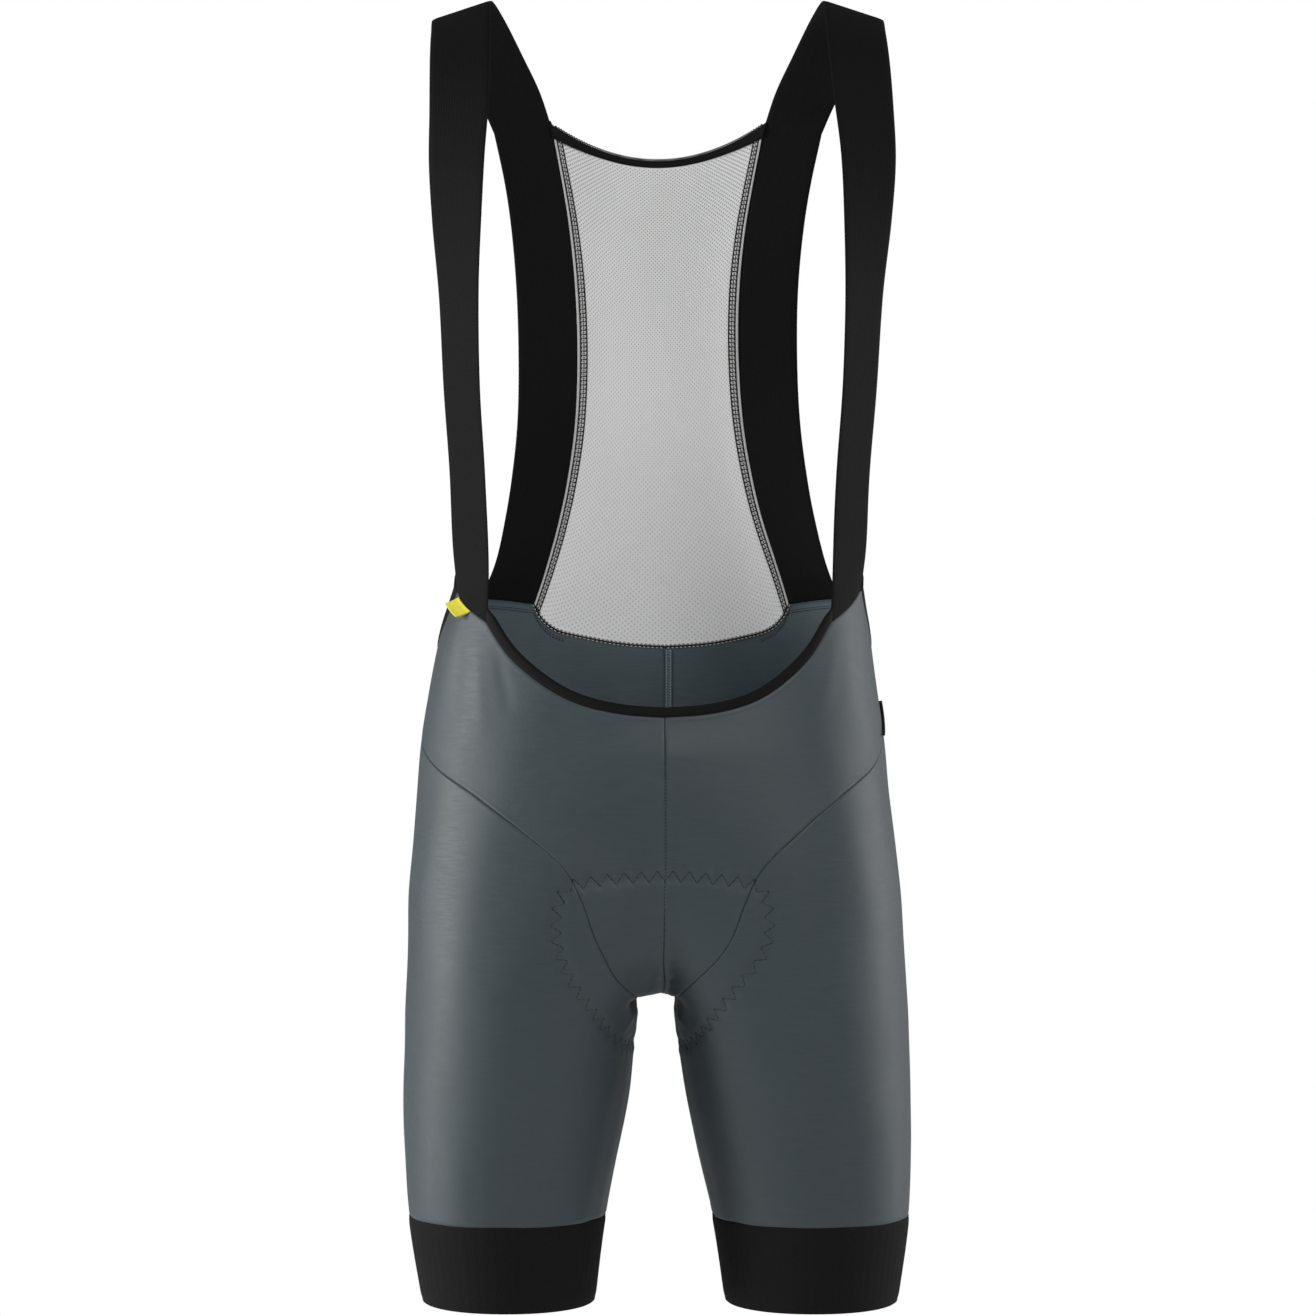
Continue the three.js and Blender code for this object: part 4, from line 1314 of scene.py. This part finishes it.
def mesh_material():
    """Light grey net with a small upright slot in each cell, in staggered rows, each slot painted dark as the
    shade seen through it.
    """
    material, tree = new_material("mesh")
    across, down, inside = cloth_coordinates(tree)
    waves = [maths(tree, "COSINE", product(tree, place, 2 * math.pi)) for place in (across, down)]
    narrow = product(tree, waves[0], maths(tree, "ABSOLUTE", waves[0]))
    slots = ranged(tree, product(tree, narrow, waves[1]), SLOT_EDGE)
    slots = product(tree, slots, inside, ranged(tree, down, SLOT_CLOSING_ROWS, SLOT_CLOSING))
    fuzz = noise(tree, scale=1400, roughness=0.6)
    shade = product(tree, maths(tree, "SUBTRACT", 1.0, slots), ranged(tree, fuzz, NOISE_RANGE, YARN_SHADE))
    # The slots are painted dark: painted shade in each dimple.
    color = mixed(tree, shade, MESH_SLOT_PAINTED_SHADE, MESH_YARN_COLOR)
    height = weighted(tree, (fuzz, 0.3), (slots, -1.0))
    see_through = {
        "Subsurface_Weight": 0.6,
        "Subsurface_Scale": SEE_THROUGH_DEPTH,
        "Subsurface_Radius": (1, 1, 1),
    }
    finish_material(tree, color, height, NET_BUMP, Roughness=0.75, Sheen_Weight=0.15, **see_through)
    return material


def plain_cloth(name, color, roughness, sheen, gloss, depth):
    """A smooth fine cloth or thread: one colour, slightly uneven, with a fine nap."""
    material, tree = new_material(name)
    fuzz = noise(tree, scale=1200, roughness=0.6)
    tint = between_tints(tree, ranged(tree, fuzz, NOISE_RANGE, NAP_SHADE), color, NAP_TINTS)
    looks = {"Roughness": roughness, "Sheen_Weight": sheen, "Sheen_Roughness": 0.4}
    finish_material(tree, tint, fuzz, depth, gloss, **looks)
    return material


def ribbon_material(name, color, sheen):
    """Satin ribbon with fine picks across it."""
    material, tree = new_material(name)
    u, v, _ = cloth_coordinates(tree)
    weave = product(tree, ripple(tree, u, RIBBON_PITCH), ripple(tree, v, RIBBON_PITCH))
    tint = between_tints(tree, ranged(tree, weave, (0.0, 1.0), RIBBON_SHADE), color, RIBBON_TINTS)
    looks = {"Roughness": 0.5, "Sheen_Weight": sheen, "Sheen_Roughness": 0.4}
    finish_material(tree, tint, weave, RIBBON_BUMP, gloss=0.4, **looks)
    return material


def pad_material():
    """Brushed dark grey knit over foam."""
    material, tree = new_material("pad")
    nap = noise(tree, scale=700, detail=4.0, roughness=0.7)
    grain = noise(tree, scale=60)
    color = mixed(tree, weighted(tree, (grain, 0.4), (nap, 0.6)), *PAD_COLORS)
    finish_material(tree, color, nap, PAD_BUMP, gloss=0.2, Roughness=0.92, Sheen_Weight=0.5)
    return material


# Pieces


def cloth_wall(node_name, kind, grid, normals, heights, sign, material, slot, rests_on, **options):
    """A wall of cloth between two heights over its grid, mirrored where sign is -1."""
    outer, inner = ((grid + normals * height) * (sign, 1, 1) for height in heights)
    options.update(slot=slot, replaces=(node_name,))
    piece = add_wall(f"{node_name}_{kind}", outer, inner, material, **options)


def knit_walls(relief, name, grid, closed, material, rests_on):
    """A panel's two walls, right and left, with each side's own creases."""
    rise, seam_distance = relief.shared(grid)
    normals = normal_at(grid)
    # The seam distance goes to the knit's material, which paints shade along the seams.
    options = {"extra": seam_distance, "closed": closed, "bulge": 0.1}
    for side, sign in SIDES:
        height = (rise + relief.creases(grid * (sign, 1, 1)))[..., None]
        heights = height, height - KNIT_WALL
        rest = [f"{rests_on}_{side}"]
        cloth_wall(
            f"{name}_{side}", "knit", grid, normals, heights, sign, material, "body_knit", rest, **options
        )


def gripper_grid():
    """The elastic band's grid, from its joint down to the hem, with lines close to both its edges."""
    places = edge_places(GRIPPER_ROWS) / GRIPPER_ROWS
    heights = GRIPPER_HEIGHT + (HEM_HEIGHT - GRIPPER_HEIGHT) * places
    return np.stack([leg_ring(height, GRIPPER_COLUMNS) for height in heights])


def grippers(material):
    grid = gripper_grid()
    normals = normal_at(grid)
    down = (GRIPPER_HEIGHT - grid[..., 2]) / (GRIPPER_HEIGHT - HEM_HEIGHT)
    top, foot = GRIPPER_EDGES
    soft = np.minimum(smooth(down * top), smooth((1 - down) * foot))[..., None]
    ribs = GRIPPER_RIB * np.cos(2 * math.pi * np.arange(grid.shape[1]) / GRIPPER_RIB_STEPS)[None, :, None]
    heights = GRIPPER_RAISE * soft + ribs * soft, -(GRIPPER_WALL - GRIPPER_EDGE_DROP * (1 - soft))
    options = {"closed": True, "bulge": 0.45}
    for side, sign in SIDES:
        rest = [f"leg_panel_{side}"]
        cloth_wall(
            f"gripper_{side}", "band", grid, normals, heights, sign, material, "gripper", rest, **options
        )


def straps(grid, material):
    """The shoulder straps, rounded at their edges."""
    normals = grid_normals(grid)
    columns = grid.shape[1] - 1
    from_edge = np.minimum(np.arange(columns + 1), columns - np.arange(columns + 1))
    soft = smooth((from_edge + STRAP_EDGE_START) / STRAP_EDGE_COLUMNS)[None, :, None]
    drop = -STRAP_EDGE_DROP * (1 - soft)
    heights = drop, -(ELASTIC_WALL + drop)
    for side, sign in SIDES:
        rest = [f"front_panel_{side}", f"leg_panel_{side}"]
        cloth_wall(
            f"strap_{side}", "elastic", grid, normals, heights, sign, material, "elastic", rest, bulge=0.35
        )


def mesh_back(grid, normals, material):
    """The net: a dimple at each cell on both faces, in staggered rows."""
    rows, columns = grid.shape[:2]
    j, i = np.meshgrid(np.arange(rows), np.arange(columns), indexing="ij")
    is_slot = (2 * i + CELL_COLUMNS * (j % CELL_ROWS)) % (2 * CELL_COLUMNS) == 0
    from_edge = np.minimum(np.minimum(i, columns - 1 - i), np.minimum(j, rows - 1 - j))
    inside = from_edge >= NET_BORDER
    depth = np.where(is_slot & inside, DIMPLE_DEPTH, 0.0)[..., None]
    heights = -depth, -(MESH_WALL - depth)
    cells = np.stack([i / CELL_COLUMNS, j / CELL_ROWS, np.where(inside, 1.0, 0.0)], axis=-1)
    rest = ["strap_left_elastic", "strap_right_elastic"]
    cloth_wall("mesh_back", "net", grid, normals, heights, 1, material, "mesh", rest, places=cells, bulge=0.1)


def binding(
    node_name, grid, sign, material, normals=None, wall_thickness=BINDING_WALL, raise_by=BINDING_RAISE
):
    """A narrow folded band, thick along its middle and round at its edges."""
    normals = normal_at(grid) if normals is None else normals
    t = 2 * np.linspace(0, 1, grid.shape[1]) - 1
    crown = (np.sqrt(np.maximum(0, 1 - BINDING_ROUNDING * t**4)) * wall_thickness / 2)[None, :, None]
    middle = raise_by - wall_thickness / 2
    outer, inner = ((grid + normals * height) * (sign, 1, 1) for height in (middle + crown, middle - crown))
    add_wall(f"{node_name}_tape", outer, inner, material, bulge=0.5, slot="binding", replaces=(node_name,))


def tag(node_name, seam_points, facts, outwards, sign, material):
    """A folded ribbon: out from the seam, round its fold and back."""
    lengths = lengths_along(seam_points)
    places = facts["start"] * lengths[-1] + facts["along"] * shares(TAG_COLUMNS)
    root = on_figure(np.stack([np.interp(places, lengths, seam_points[:, k]) for k in range(3)], axis=1))
    down = shares(TAG_ROWS)
    reach = facts["clear"] + facts["out"] * down
    grid = np.stack([walk(root, outwards, np.full(len(root), far)) for far in reach])
    normals = normal_at(grid)
    lift = (facts["lift"] * down**2)[:, None, None]
    room = (facts["loop"] * smooth(down * TAG_LOOP_SPREAD))[:, None, None]
    under = grid + normals * (TAG_CLEARANCE + facts["ribbon"] / 2 + lift)
    over = under + normals * (facts["ribbon"] + room)
    angle = math.pi * np.linspace(0, 1, TAG_FOLD_STEPS + 2)[1:-1, None, None]
    radius = np.linalg.norm(over[-1] - under[-1], axis=1)[:, None] / 2
    ahead = unit(under[-1] - under[-2])
    centre = (under[-1] + over[-1]) / 2
    fold = centre - normals[-1] * radius * np.cos(angle) + ahead * radius * np.sin(angle)
    path = np.concatenate([under, fold, over[::-1]])
    across = grid_normals(path) * facts["ribbon"] / 2
    outer, inner = (path + across) * (sign, 1, 1), (path - across) * (sign, 1, 1)
    options = {"bulge": 0.2, "slot": node_name, "replaces": (node_name,)}
    piece = add_wall(f"{node_name}_ribbon", outer, inner, material, **options)


def seat_pad(middle, material):
    """The pad: crowned between its thin stitched edges, inside the crotch."""
    widths = pad_half_widths()
    side = np.stack([walk(middle, (1, 0, 0), widths * share) for share in shares(PAD_HALF_COLUMNS)], axis=1)
    grid = np.concatenate([side[:, :0:-1] * (-1, 1, 1), side], axis=1)
    normals = -normal_at(grid)
    folded = np.concatenate([np.abs(grid[..., :1]), grid[..., 1:]], axis=-1)
    seated = grid + normals * (PAD_DEPTH + bridge_draw(folded))[..., None]
    across = np.abs(np.linspace(-1, 1, grid.shape[1]))[None, :] * widths[:, None]
    from_side = widths[:, None] - across
    along = lengths_along(middle)
    from_end = np.minimum(along, along[-1] - along)[:, None]
    swell = PAD_EDGE + (PAD_WALL - PAD_EDGE) * smooth(np.minimum(from_side, from_end) / PAD_BEVEL)
    channel = PAD_CHANNEL * bump_at(across - PAD_CHANNEL_PLACE, PAD_CHANNEL_WIDTH)
    channel = channel * smooth(from_end / PAD_CHANNEL_FADE)
    inner = seated + normals * (swell - channel)[..., None]
    options = {"bulge": 0.4, "slot": "pad", "replaces": ("seat_pad",)}
    piece = add_wall("seat_pad_foam", seated, inner, material, **options)


# Sewing


def along_edge(edge, across, up, count):
    """An edge and its two directions at count + 1 even places."""
    share = np.linspace(0, len(edge) - 1, count + 1)
    return between(edge, share, 0), unit(between(across, share, 0)), unit(between(up, share, 0))


def weaving_strand(edge, across, up, near, far, row):
    """A thread that crosses from side to side beside an edge, twice in every pitch."""
    pitch, lift, radius = row
    count = 4 * round(lengths_along(edge)[-1] / pitch)
    points, sideways, upwards = along_edge(edge, across, up, count)
    phase = np.arange(count + 1) % 4
    out = np.array([near, (near + far) / 2, far, (near + far) / 2])[phase]
    high = np.array(WEAVE_HEIGHTS)[phase] * lift
    return (points + sideways * out[:, None] + upwards * high[:, None])[None], upwards[None], radius


def chain_strand(edge, across, up, out, row):
    """A thread that runs beside an edge and rises and sinks once in every pitch."""
    pitch, lift, radius = row
    count = 2 * round(lengths_along(edge)[-1] / pitch)
    points, sideways, upwards = along_edge(edge, across, up, count)
    high = np.array(CHAIN_HEIGHTS)[np.arange(count + 1) % 2] * lift
    return (points + sideways * out + upwards * high[:, None])[None], upwards[None], radius


def ticks(path, normals, row):
    """Single stitches in a row along a path, each filling a share of its pitch."""
    pitch, filled, radius = row
    count = round(lengths_along(path)[-1] / pitch)
    places = np.linspace(0, len(path) - 1, count + 1)[:-1]
    step = (len(path) - 1) / count * filled
    starts, ends = between(path, places, 0), between(path, places + step, 0)
    up = unit(between(normals, places, 0))
    return stitches(starts, ends, up, TICK_LIFT, TICK_BITE), up[:, None], radius


def stitch_pad(relief, thread):
    """The three-step zigzag that holds the pad, on both sides."""
    groups = []
    for _, sign in SIDES:
        holes = relief.lift_of(relief.holes, sign) * (sign, 1, 1)
        normals = normal_at(relief.holes) * (sign, 1, 1)
        paths = stitches(holes[:-1], holes[1:], normals[:-1], ZIGZAG_LIFT, ZIGZAG_BITE)
        groups.append((paths, normals[:-1, None], ZIGZAG_THREAD))
    add_threads("seat_pad_stitching", groups, thread)


def stitch_net_sides(mesh, normals, white, black):
    """The overlock that joins the net to the straps, on the net's inner face, and its white edge."""
    groups, edges = [], []
    for side, column, inner in (("left", 0, NET_EDGE_STEP), ("right", -1, -1 - NET_EDGE_STEP)):
        edge, up = mesh[:, column], -normals[:, column]
        across = unit(mesh[:, inner] - edge)
        face = edge + up * MESH_WALL
        top = face + up * ALLOWANCE_WALL * NET_ALLOWANCE_SHARE
        out = np.linspace(0, OVERLOCK_WIDTH, NET_ALLOWANCE_COLUMNS)[None, :, None]
        raised, grid = (line[:, None] + across[:, None] * out for line in (top, face))
        add_wall(f"net_allowance_{side}", raised, grid, white, bulge=0.3, slot="mesh")
        groups.append(weaving_strand(top, across, up, OVERLOCK_START, OVERLOCK_WIDTH, OVERLOCK_WEAVE))
        for out_to in (OVERLOCK_START, OVERLOCK_WIDTH):
            groups.append(chain_strand(top, across, up, out_to, OVERLOCK_CHAIN))
        for out_to in NET_EDGE_CHAIN_PLACES:
            edges.append(chain_strand(top, across, up, out_to, NET_EDGE_CHAIN))
        for out_to in BEAD_PLACES:
            edges.append(ticks(top + across * out_to + up * BEAD_LIFT, up, BEADS))
    add_threads("net_overlock", groups, black)
    add_threads("net_white_edge", edges, white)


def stitch_net_top(trim, normals, black, white):
    """The small loops on the top edge of the net's tape, and the threads over its two faces."""
    top, bottom, up = trim[:, 0], trim[:, -1], normals[:, 0]
    across = unit(top - bottom)
    near, off_top = TOP_WEAVE_SIDES
    far = float(np.linalg.norm(top - bottom, axis=1).mean()) - off_top
    count = round(lengths_along(top)[-1] / PICOT_PITCH)
    points, rising, outwards = along_edge(top, across, up, count)
    onwards = tangents(points) * PICOT_PITCH
    loops = [points[:-1] + onwards[:-1] * a + rising[:-1] * b * PICOT_HEIGHT for a, b in PICOT_SHAPE]
    groups = [(np.stack(loops, axis=1), outwards[:-1, None], PICOT_THREAD)]
    specks = []
    for face in (1, -1):
        shifted = bottom + up * face * TRIM_WALL / 2
        groups.append(weaving_strand(shifted, across, up * face, near, far, TOP_WEAVE))
        groups.append(weaving_strand(shifted, across, up * face, far, near, TOP_WEAVE))
        for share in SPECK_PLACES:
            line = bottom + (top - bottom) * share + up * face * TRIM_WALL * SPECK_LIFT
            specks.append(ticks(line, up * face, TOP_SPECKS))
    add_threads("net_top_overlock", groups, black)
    add_threads("net_top_specks", specks, white)


def stitch_back_top(relief, lines, dark, white):
    """Inside the back: the hem's stitches below the strap's foot, and the overlock along the net's foot."""
    half = joined(lines["backStrapFoot"], lines["scoop"][: HEM_END * FRONT_FINENESS])
    lower = walk(half, (0, 0, -1), np.full(len(half), BACK_HEM_DEPTH))
    lower_normals = normal_at(lower)
    path = lines["scoop"]
    path_normals = normal_at(path)
    hem, foot, specks = [], [], []
    for _, sign in SIDES:
        inside = relief.lift_of(lower, sign) - lower_normals * KNIT_WALL
        for row in BACK_HEM_ROWS:
            line = inside - np.array([0, 0, row])
            hem.append(ticks(line * (sign, 1, 1), -lower_normals * (sign, 1, 1), HEM_TICKS))
        face = (path - path_normals * (KNIT_WALL + FOOT_CLEARANCE)) * (sign, 1, 1)
        up = -path_normals * (sign, 1, 1)
        down = np.cross(tangents(face), up) * sign
        foot.append(weaving_strand(face, down, up, *FOOT_WEAVE_SIDES, FOOT_WEAVE))
        foot.append(chain_strand(face, down, up, 0.0, FOOT_CHAIN))
        specks.append(ticks(face - down * FOOT_SPECK_OFFSET + up * FOOT_SPECK_LIFT, up, FOOT_SPECKS))
    add_threads("back_hem_stitching", hem, dark)
    add_threads("back_net_overlock", foot, dark)
    add_threads("back_net_specks", specks, white)


def centre_back_allowance(relief, path, knit, pale, dark):
    """The centre back's seam allowance, pressed to one side inside the cloth, with its ladder of stitches,
    and a black chain along its far edge as painted shadow.
    """
    across = unit(np.cross(tangents(path), normal_at(path)))
    out = np.linspace(0, ALLOWANCE_WIDTH, ALLOWANCE_COLUMNS)
    grid = np.stack([on_figure(path + across * far) for far in out], axis=1)
    normals = normal_at(grid)
    grid = relief.lift_of(grid, 1) - normals * (KNIT_WALL - ALLOWANCE_SINK)
    raised = grid - normals * ALLOWANCE_WALL
    add_wall("centre_back_allowance", grid, raised, knit, extra=FAR_FROM_SEAM, bulge=0.3, slot="body_knit")
    edge, up = raised[:, 0], -normals[:, 0]
    sideways = unit(raised[:, -1] - raised[:, 0])
    groups = [weaving_strand(edge, sideways, up, *LADDER_SIDES, LADDER_WEAVE)]
    for out_to in LADDER_SIDES:
        groups.append(ticks(edge + sideways * out_to, up, LADDER_TICKS))
    add_threads("centre_back_ladder", groups, pale)
    # Painted shadow: a black chain along the allowance's far edge stands for the shadow that the edge casts.
    shadow = chain_strand(grid[:, -1], sideways, up, ALLOWANCE_SHADOW_OFFSET, ALLOWANCE_SHADOW_CHAIN)
    add_threads("centre_back_painted_shadow", [shadow], dark)


def stitch_centre_front(relief, lines, pale):
    """Fine stitches that just show in the centre front seam."""
    path = lines["frontRise"][lines["frontRise"][:, 2] > CENTRE_STITCH_FOOT][CENTRE_STITCH_START:]
    lifted = relief.lift_of(path, 1)
    add_threads("centre_front_stitching", [ticks(lifted, normal_at(path), CENTRE_TICKS)], pale)


# Lights, floor and camera


def aimed(name, data, place, target):
    thing = bpy.data.objects.new(name, data)
    thing.location = place
    thing.rotation_euler = (Vector(target) - Vector(place)).to_track_quat("-Z", "Y").to_euler()
    bpy.context.scene.collection.objects.link(thing)
    return thing


def soft_light(name, place, watts, width, height):
    data = bpy.data.lights.new(name, "AREA")
    data.shape = "RECTANGLE"
    data.size, data.size_y = width, height
    data.energy = watts
    aimed(name, data, place, LIGHT_TARGET)


def studio():
    """A plain pale floor, pale surroundings and soft lights."""
    material, tree = new_material("floor")
    finish_material(tree, FLOOR_COLOR, noise(tree, scale=3), 0.0, Roughness=0.9)
    mesh = bpy.data.meshes.new("floor")
    angle = 2 * math.pi * np.arange(FLOOR_SIDES) / FLOOR_SIDES
    rim = [(FLOOR_RADIUS * math.cos(a), FLOOR_RADIUS * math.sin(a), FLOOR_HEIGHT) for a in angle]
    mesh.from_pydata(rim, [], [list(range(FLOOR_SIDES))])
    mesh.materials.append(material)
    floor = bpy.data.objects.new("floor", mesh)
    bpy.context.scene.collection.objects.link(floor)

    world = bpy.data.worlds.new("pale")
    world.use_nodes = True
    tree = world.node_tree
    tree.nodes.clear()
    seen = node(tree, "LightPath").outputs["Is Camera Ray"]
    strength = maths(tree, "MULTIPLY_ADD", seen, 1 - WORLD_LIGHT, WORLD_LIGHT)
    background = node(tree, "Background", Color=(1, 1, 1, 1), Strength=strength)
    node(tree, "OutputWorld", Surface=background.outputs[0])
    bpy.context.scene.world = world

    for light in LIGHTS:
        soft_light(*light)


def add_camera():
    data = bpy.data.cameras.new("camera")
    data.sensor_fit = "HORIZONTAL"
    data.angle = 2 * math.atan(PHOTO_SIDE * MM_PER_PIXEL / 2 / CAMERA_DISTANCE)
    data.clip_end = CAMERA_REACH
    height = (CAMERA_HEIGHT - SHOULDER_HEIGHT) * MM
    camera = aimed("camera", data, (0, -CAMERA_DISTANCE * MM, height), (0, 0, height))
    bpy.context.scene.camera = camera


# The garment


def net_trim(strap, mesh, mesh_normals):
    """The grid of the tape on the net's top edge, and its normals."""
    above = strap[(FRONT_STRAP_ROWS - 1) * STRAP_FINENESS, 0]
    trim = strip_grid(mesh[0], TRIM_WIDTH, np.array([0, 0, 1.0]), above * (-1, 1, 1), above, BINDING_COLUMNS)
    out = np.abs(np.linspace(-1, 1, len(trim)))[:, None]
    share = np.linspace(0, 1, trim.shape[1])[None, :]
    trim[..., 2] -= TRIM_END_DROP * out**3 * share
    return trim, np.repeat(mesh_normals[:1], trim.shape[1], axis=0).transpose(1, 0, 2)


def uphill_from(edge):
    return unit(np.cross(normal_at(edge), tangents(edge)))


def neck_strip(strap, lines):
    """The grid of the neckline's binding."""
    neckline = both_sides(lines["neckline"])
    inner = strap[STRAP_FINENESS, 0]
    ends = inner * (-1, 1, 1), inner
    return strip_grid(neckline, NECK_BINDING_WIDTH, uphill_from(neckline), *ends, BINDING_COLUMNS)


def side_strip(strap, lines):
    """The grid of the right armhole's binding, which also reaches down over the cloth."""
    armhole = joined(lines["frontArmhole"], lines["backArmhole"])
    uphill = uphill_from(armhole)
    ends = strap[STRAP_FINENESS, -1], strap[-1 - STRAP_FINENESS, -1]
    upper = strip_grid(armhole, SIDE_BINDING_WIDTH, uphill, *ends, BINDING_COLUMNS // 2)
    reach = SIDE_BINDING_INSET * shares(BINDING_COLUMNS // 2)[1:]
    lower = np.stack([on_figure(armhole - uphill * far) for far in reach], axis=1)
    return np.concatenate([upper, lower], axis=1)


def build_garment():
    fine = seams(FRONT_FINENESS)
    relief = Relief(fine)
    knit = knit_material()
    elastic = elastic_material("elastic", *ELASTIC_LOOK)
    rib = elastic_material("gripper", *GRIPPER_LOOK)
    tape, white, grey, ladder, black = (plain_cloth(name, *look) for name, look in PLAIN_LOOKS.items())

    knit_walls(relief, "front_panel", front_panel(fine), False, knit, "leg_panel")
    knit_walls(relief, "leg_panel", leg_panel(seams(LEG_FINENESS)), True, knit, "gripper")
    grippers(rib)

    strap = strap_grid(fine)
    straps(strap, elastic)
    mesh = mesh_grid(strap, fine, MESH_CELLS[0] * CELL_COLUMNS, MESH_CELLS[1] * CELL_ROWS)
    mesh_normals = grid_normals(mesh)
    mesh_back(mesh, mesh_normals, mesh_material())

    trim, trim_normals = net_trim(strap, mesh, mesh_normals)
    binding("mesh_trim", trim, 1, tape, trim_normals, TRIM_WALL, 0.0)
    binding("neck_binding", neck_strip(strap, fine), 1, tape)
    side = side_strip(strap, fine)
    for name, sign in SIDES:
        binding(f"side_binding_{name}", side, sign, tape)

    seat_pad(relief.middle, pad_material())
    satin = ribbon_material("strap_tag", YELLOW, sheen=0.3)
    tag("strap_tag", fine["strapFoot"], STRAP_TAG, STRAP_TAG_WAY, -1, satin)
    plain = ribbon_material("side_tag", SIDE_TAG_COLOR, sheen=0.1)
    seam_line = joined(fine["sideSeam"], fine["diagonal"])
    tag("side_tag", seam_line, SIDE_TAG, SIDE_TAG_WAY, 1, plain)

    stitch_pad(relief, black)
    stitch_net_sides(mesh, mesh_normals, white, black)
    stitch_net_top(trim, trim_normals, black, white)
    stitch_back_top(relief, fine, black, white)
    stitch_centre_front(relief, fine, grey)
    back = fine["backRise"]
    back = back[back[:, 2] > PAD_BACK_HEIGHT][1:]
    centre_back_allowance(relief, back, knit, ladder, black)


build_garment()
studio()
add_camera()
bpy.context.scene.view_settings.view_transform = "Standard"
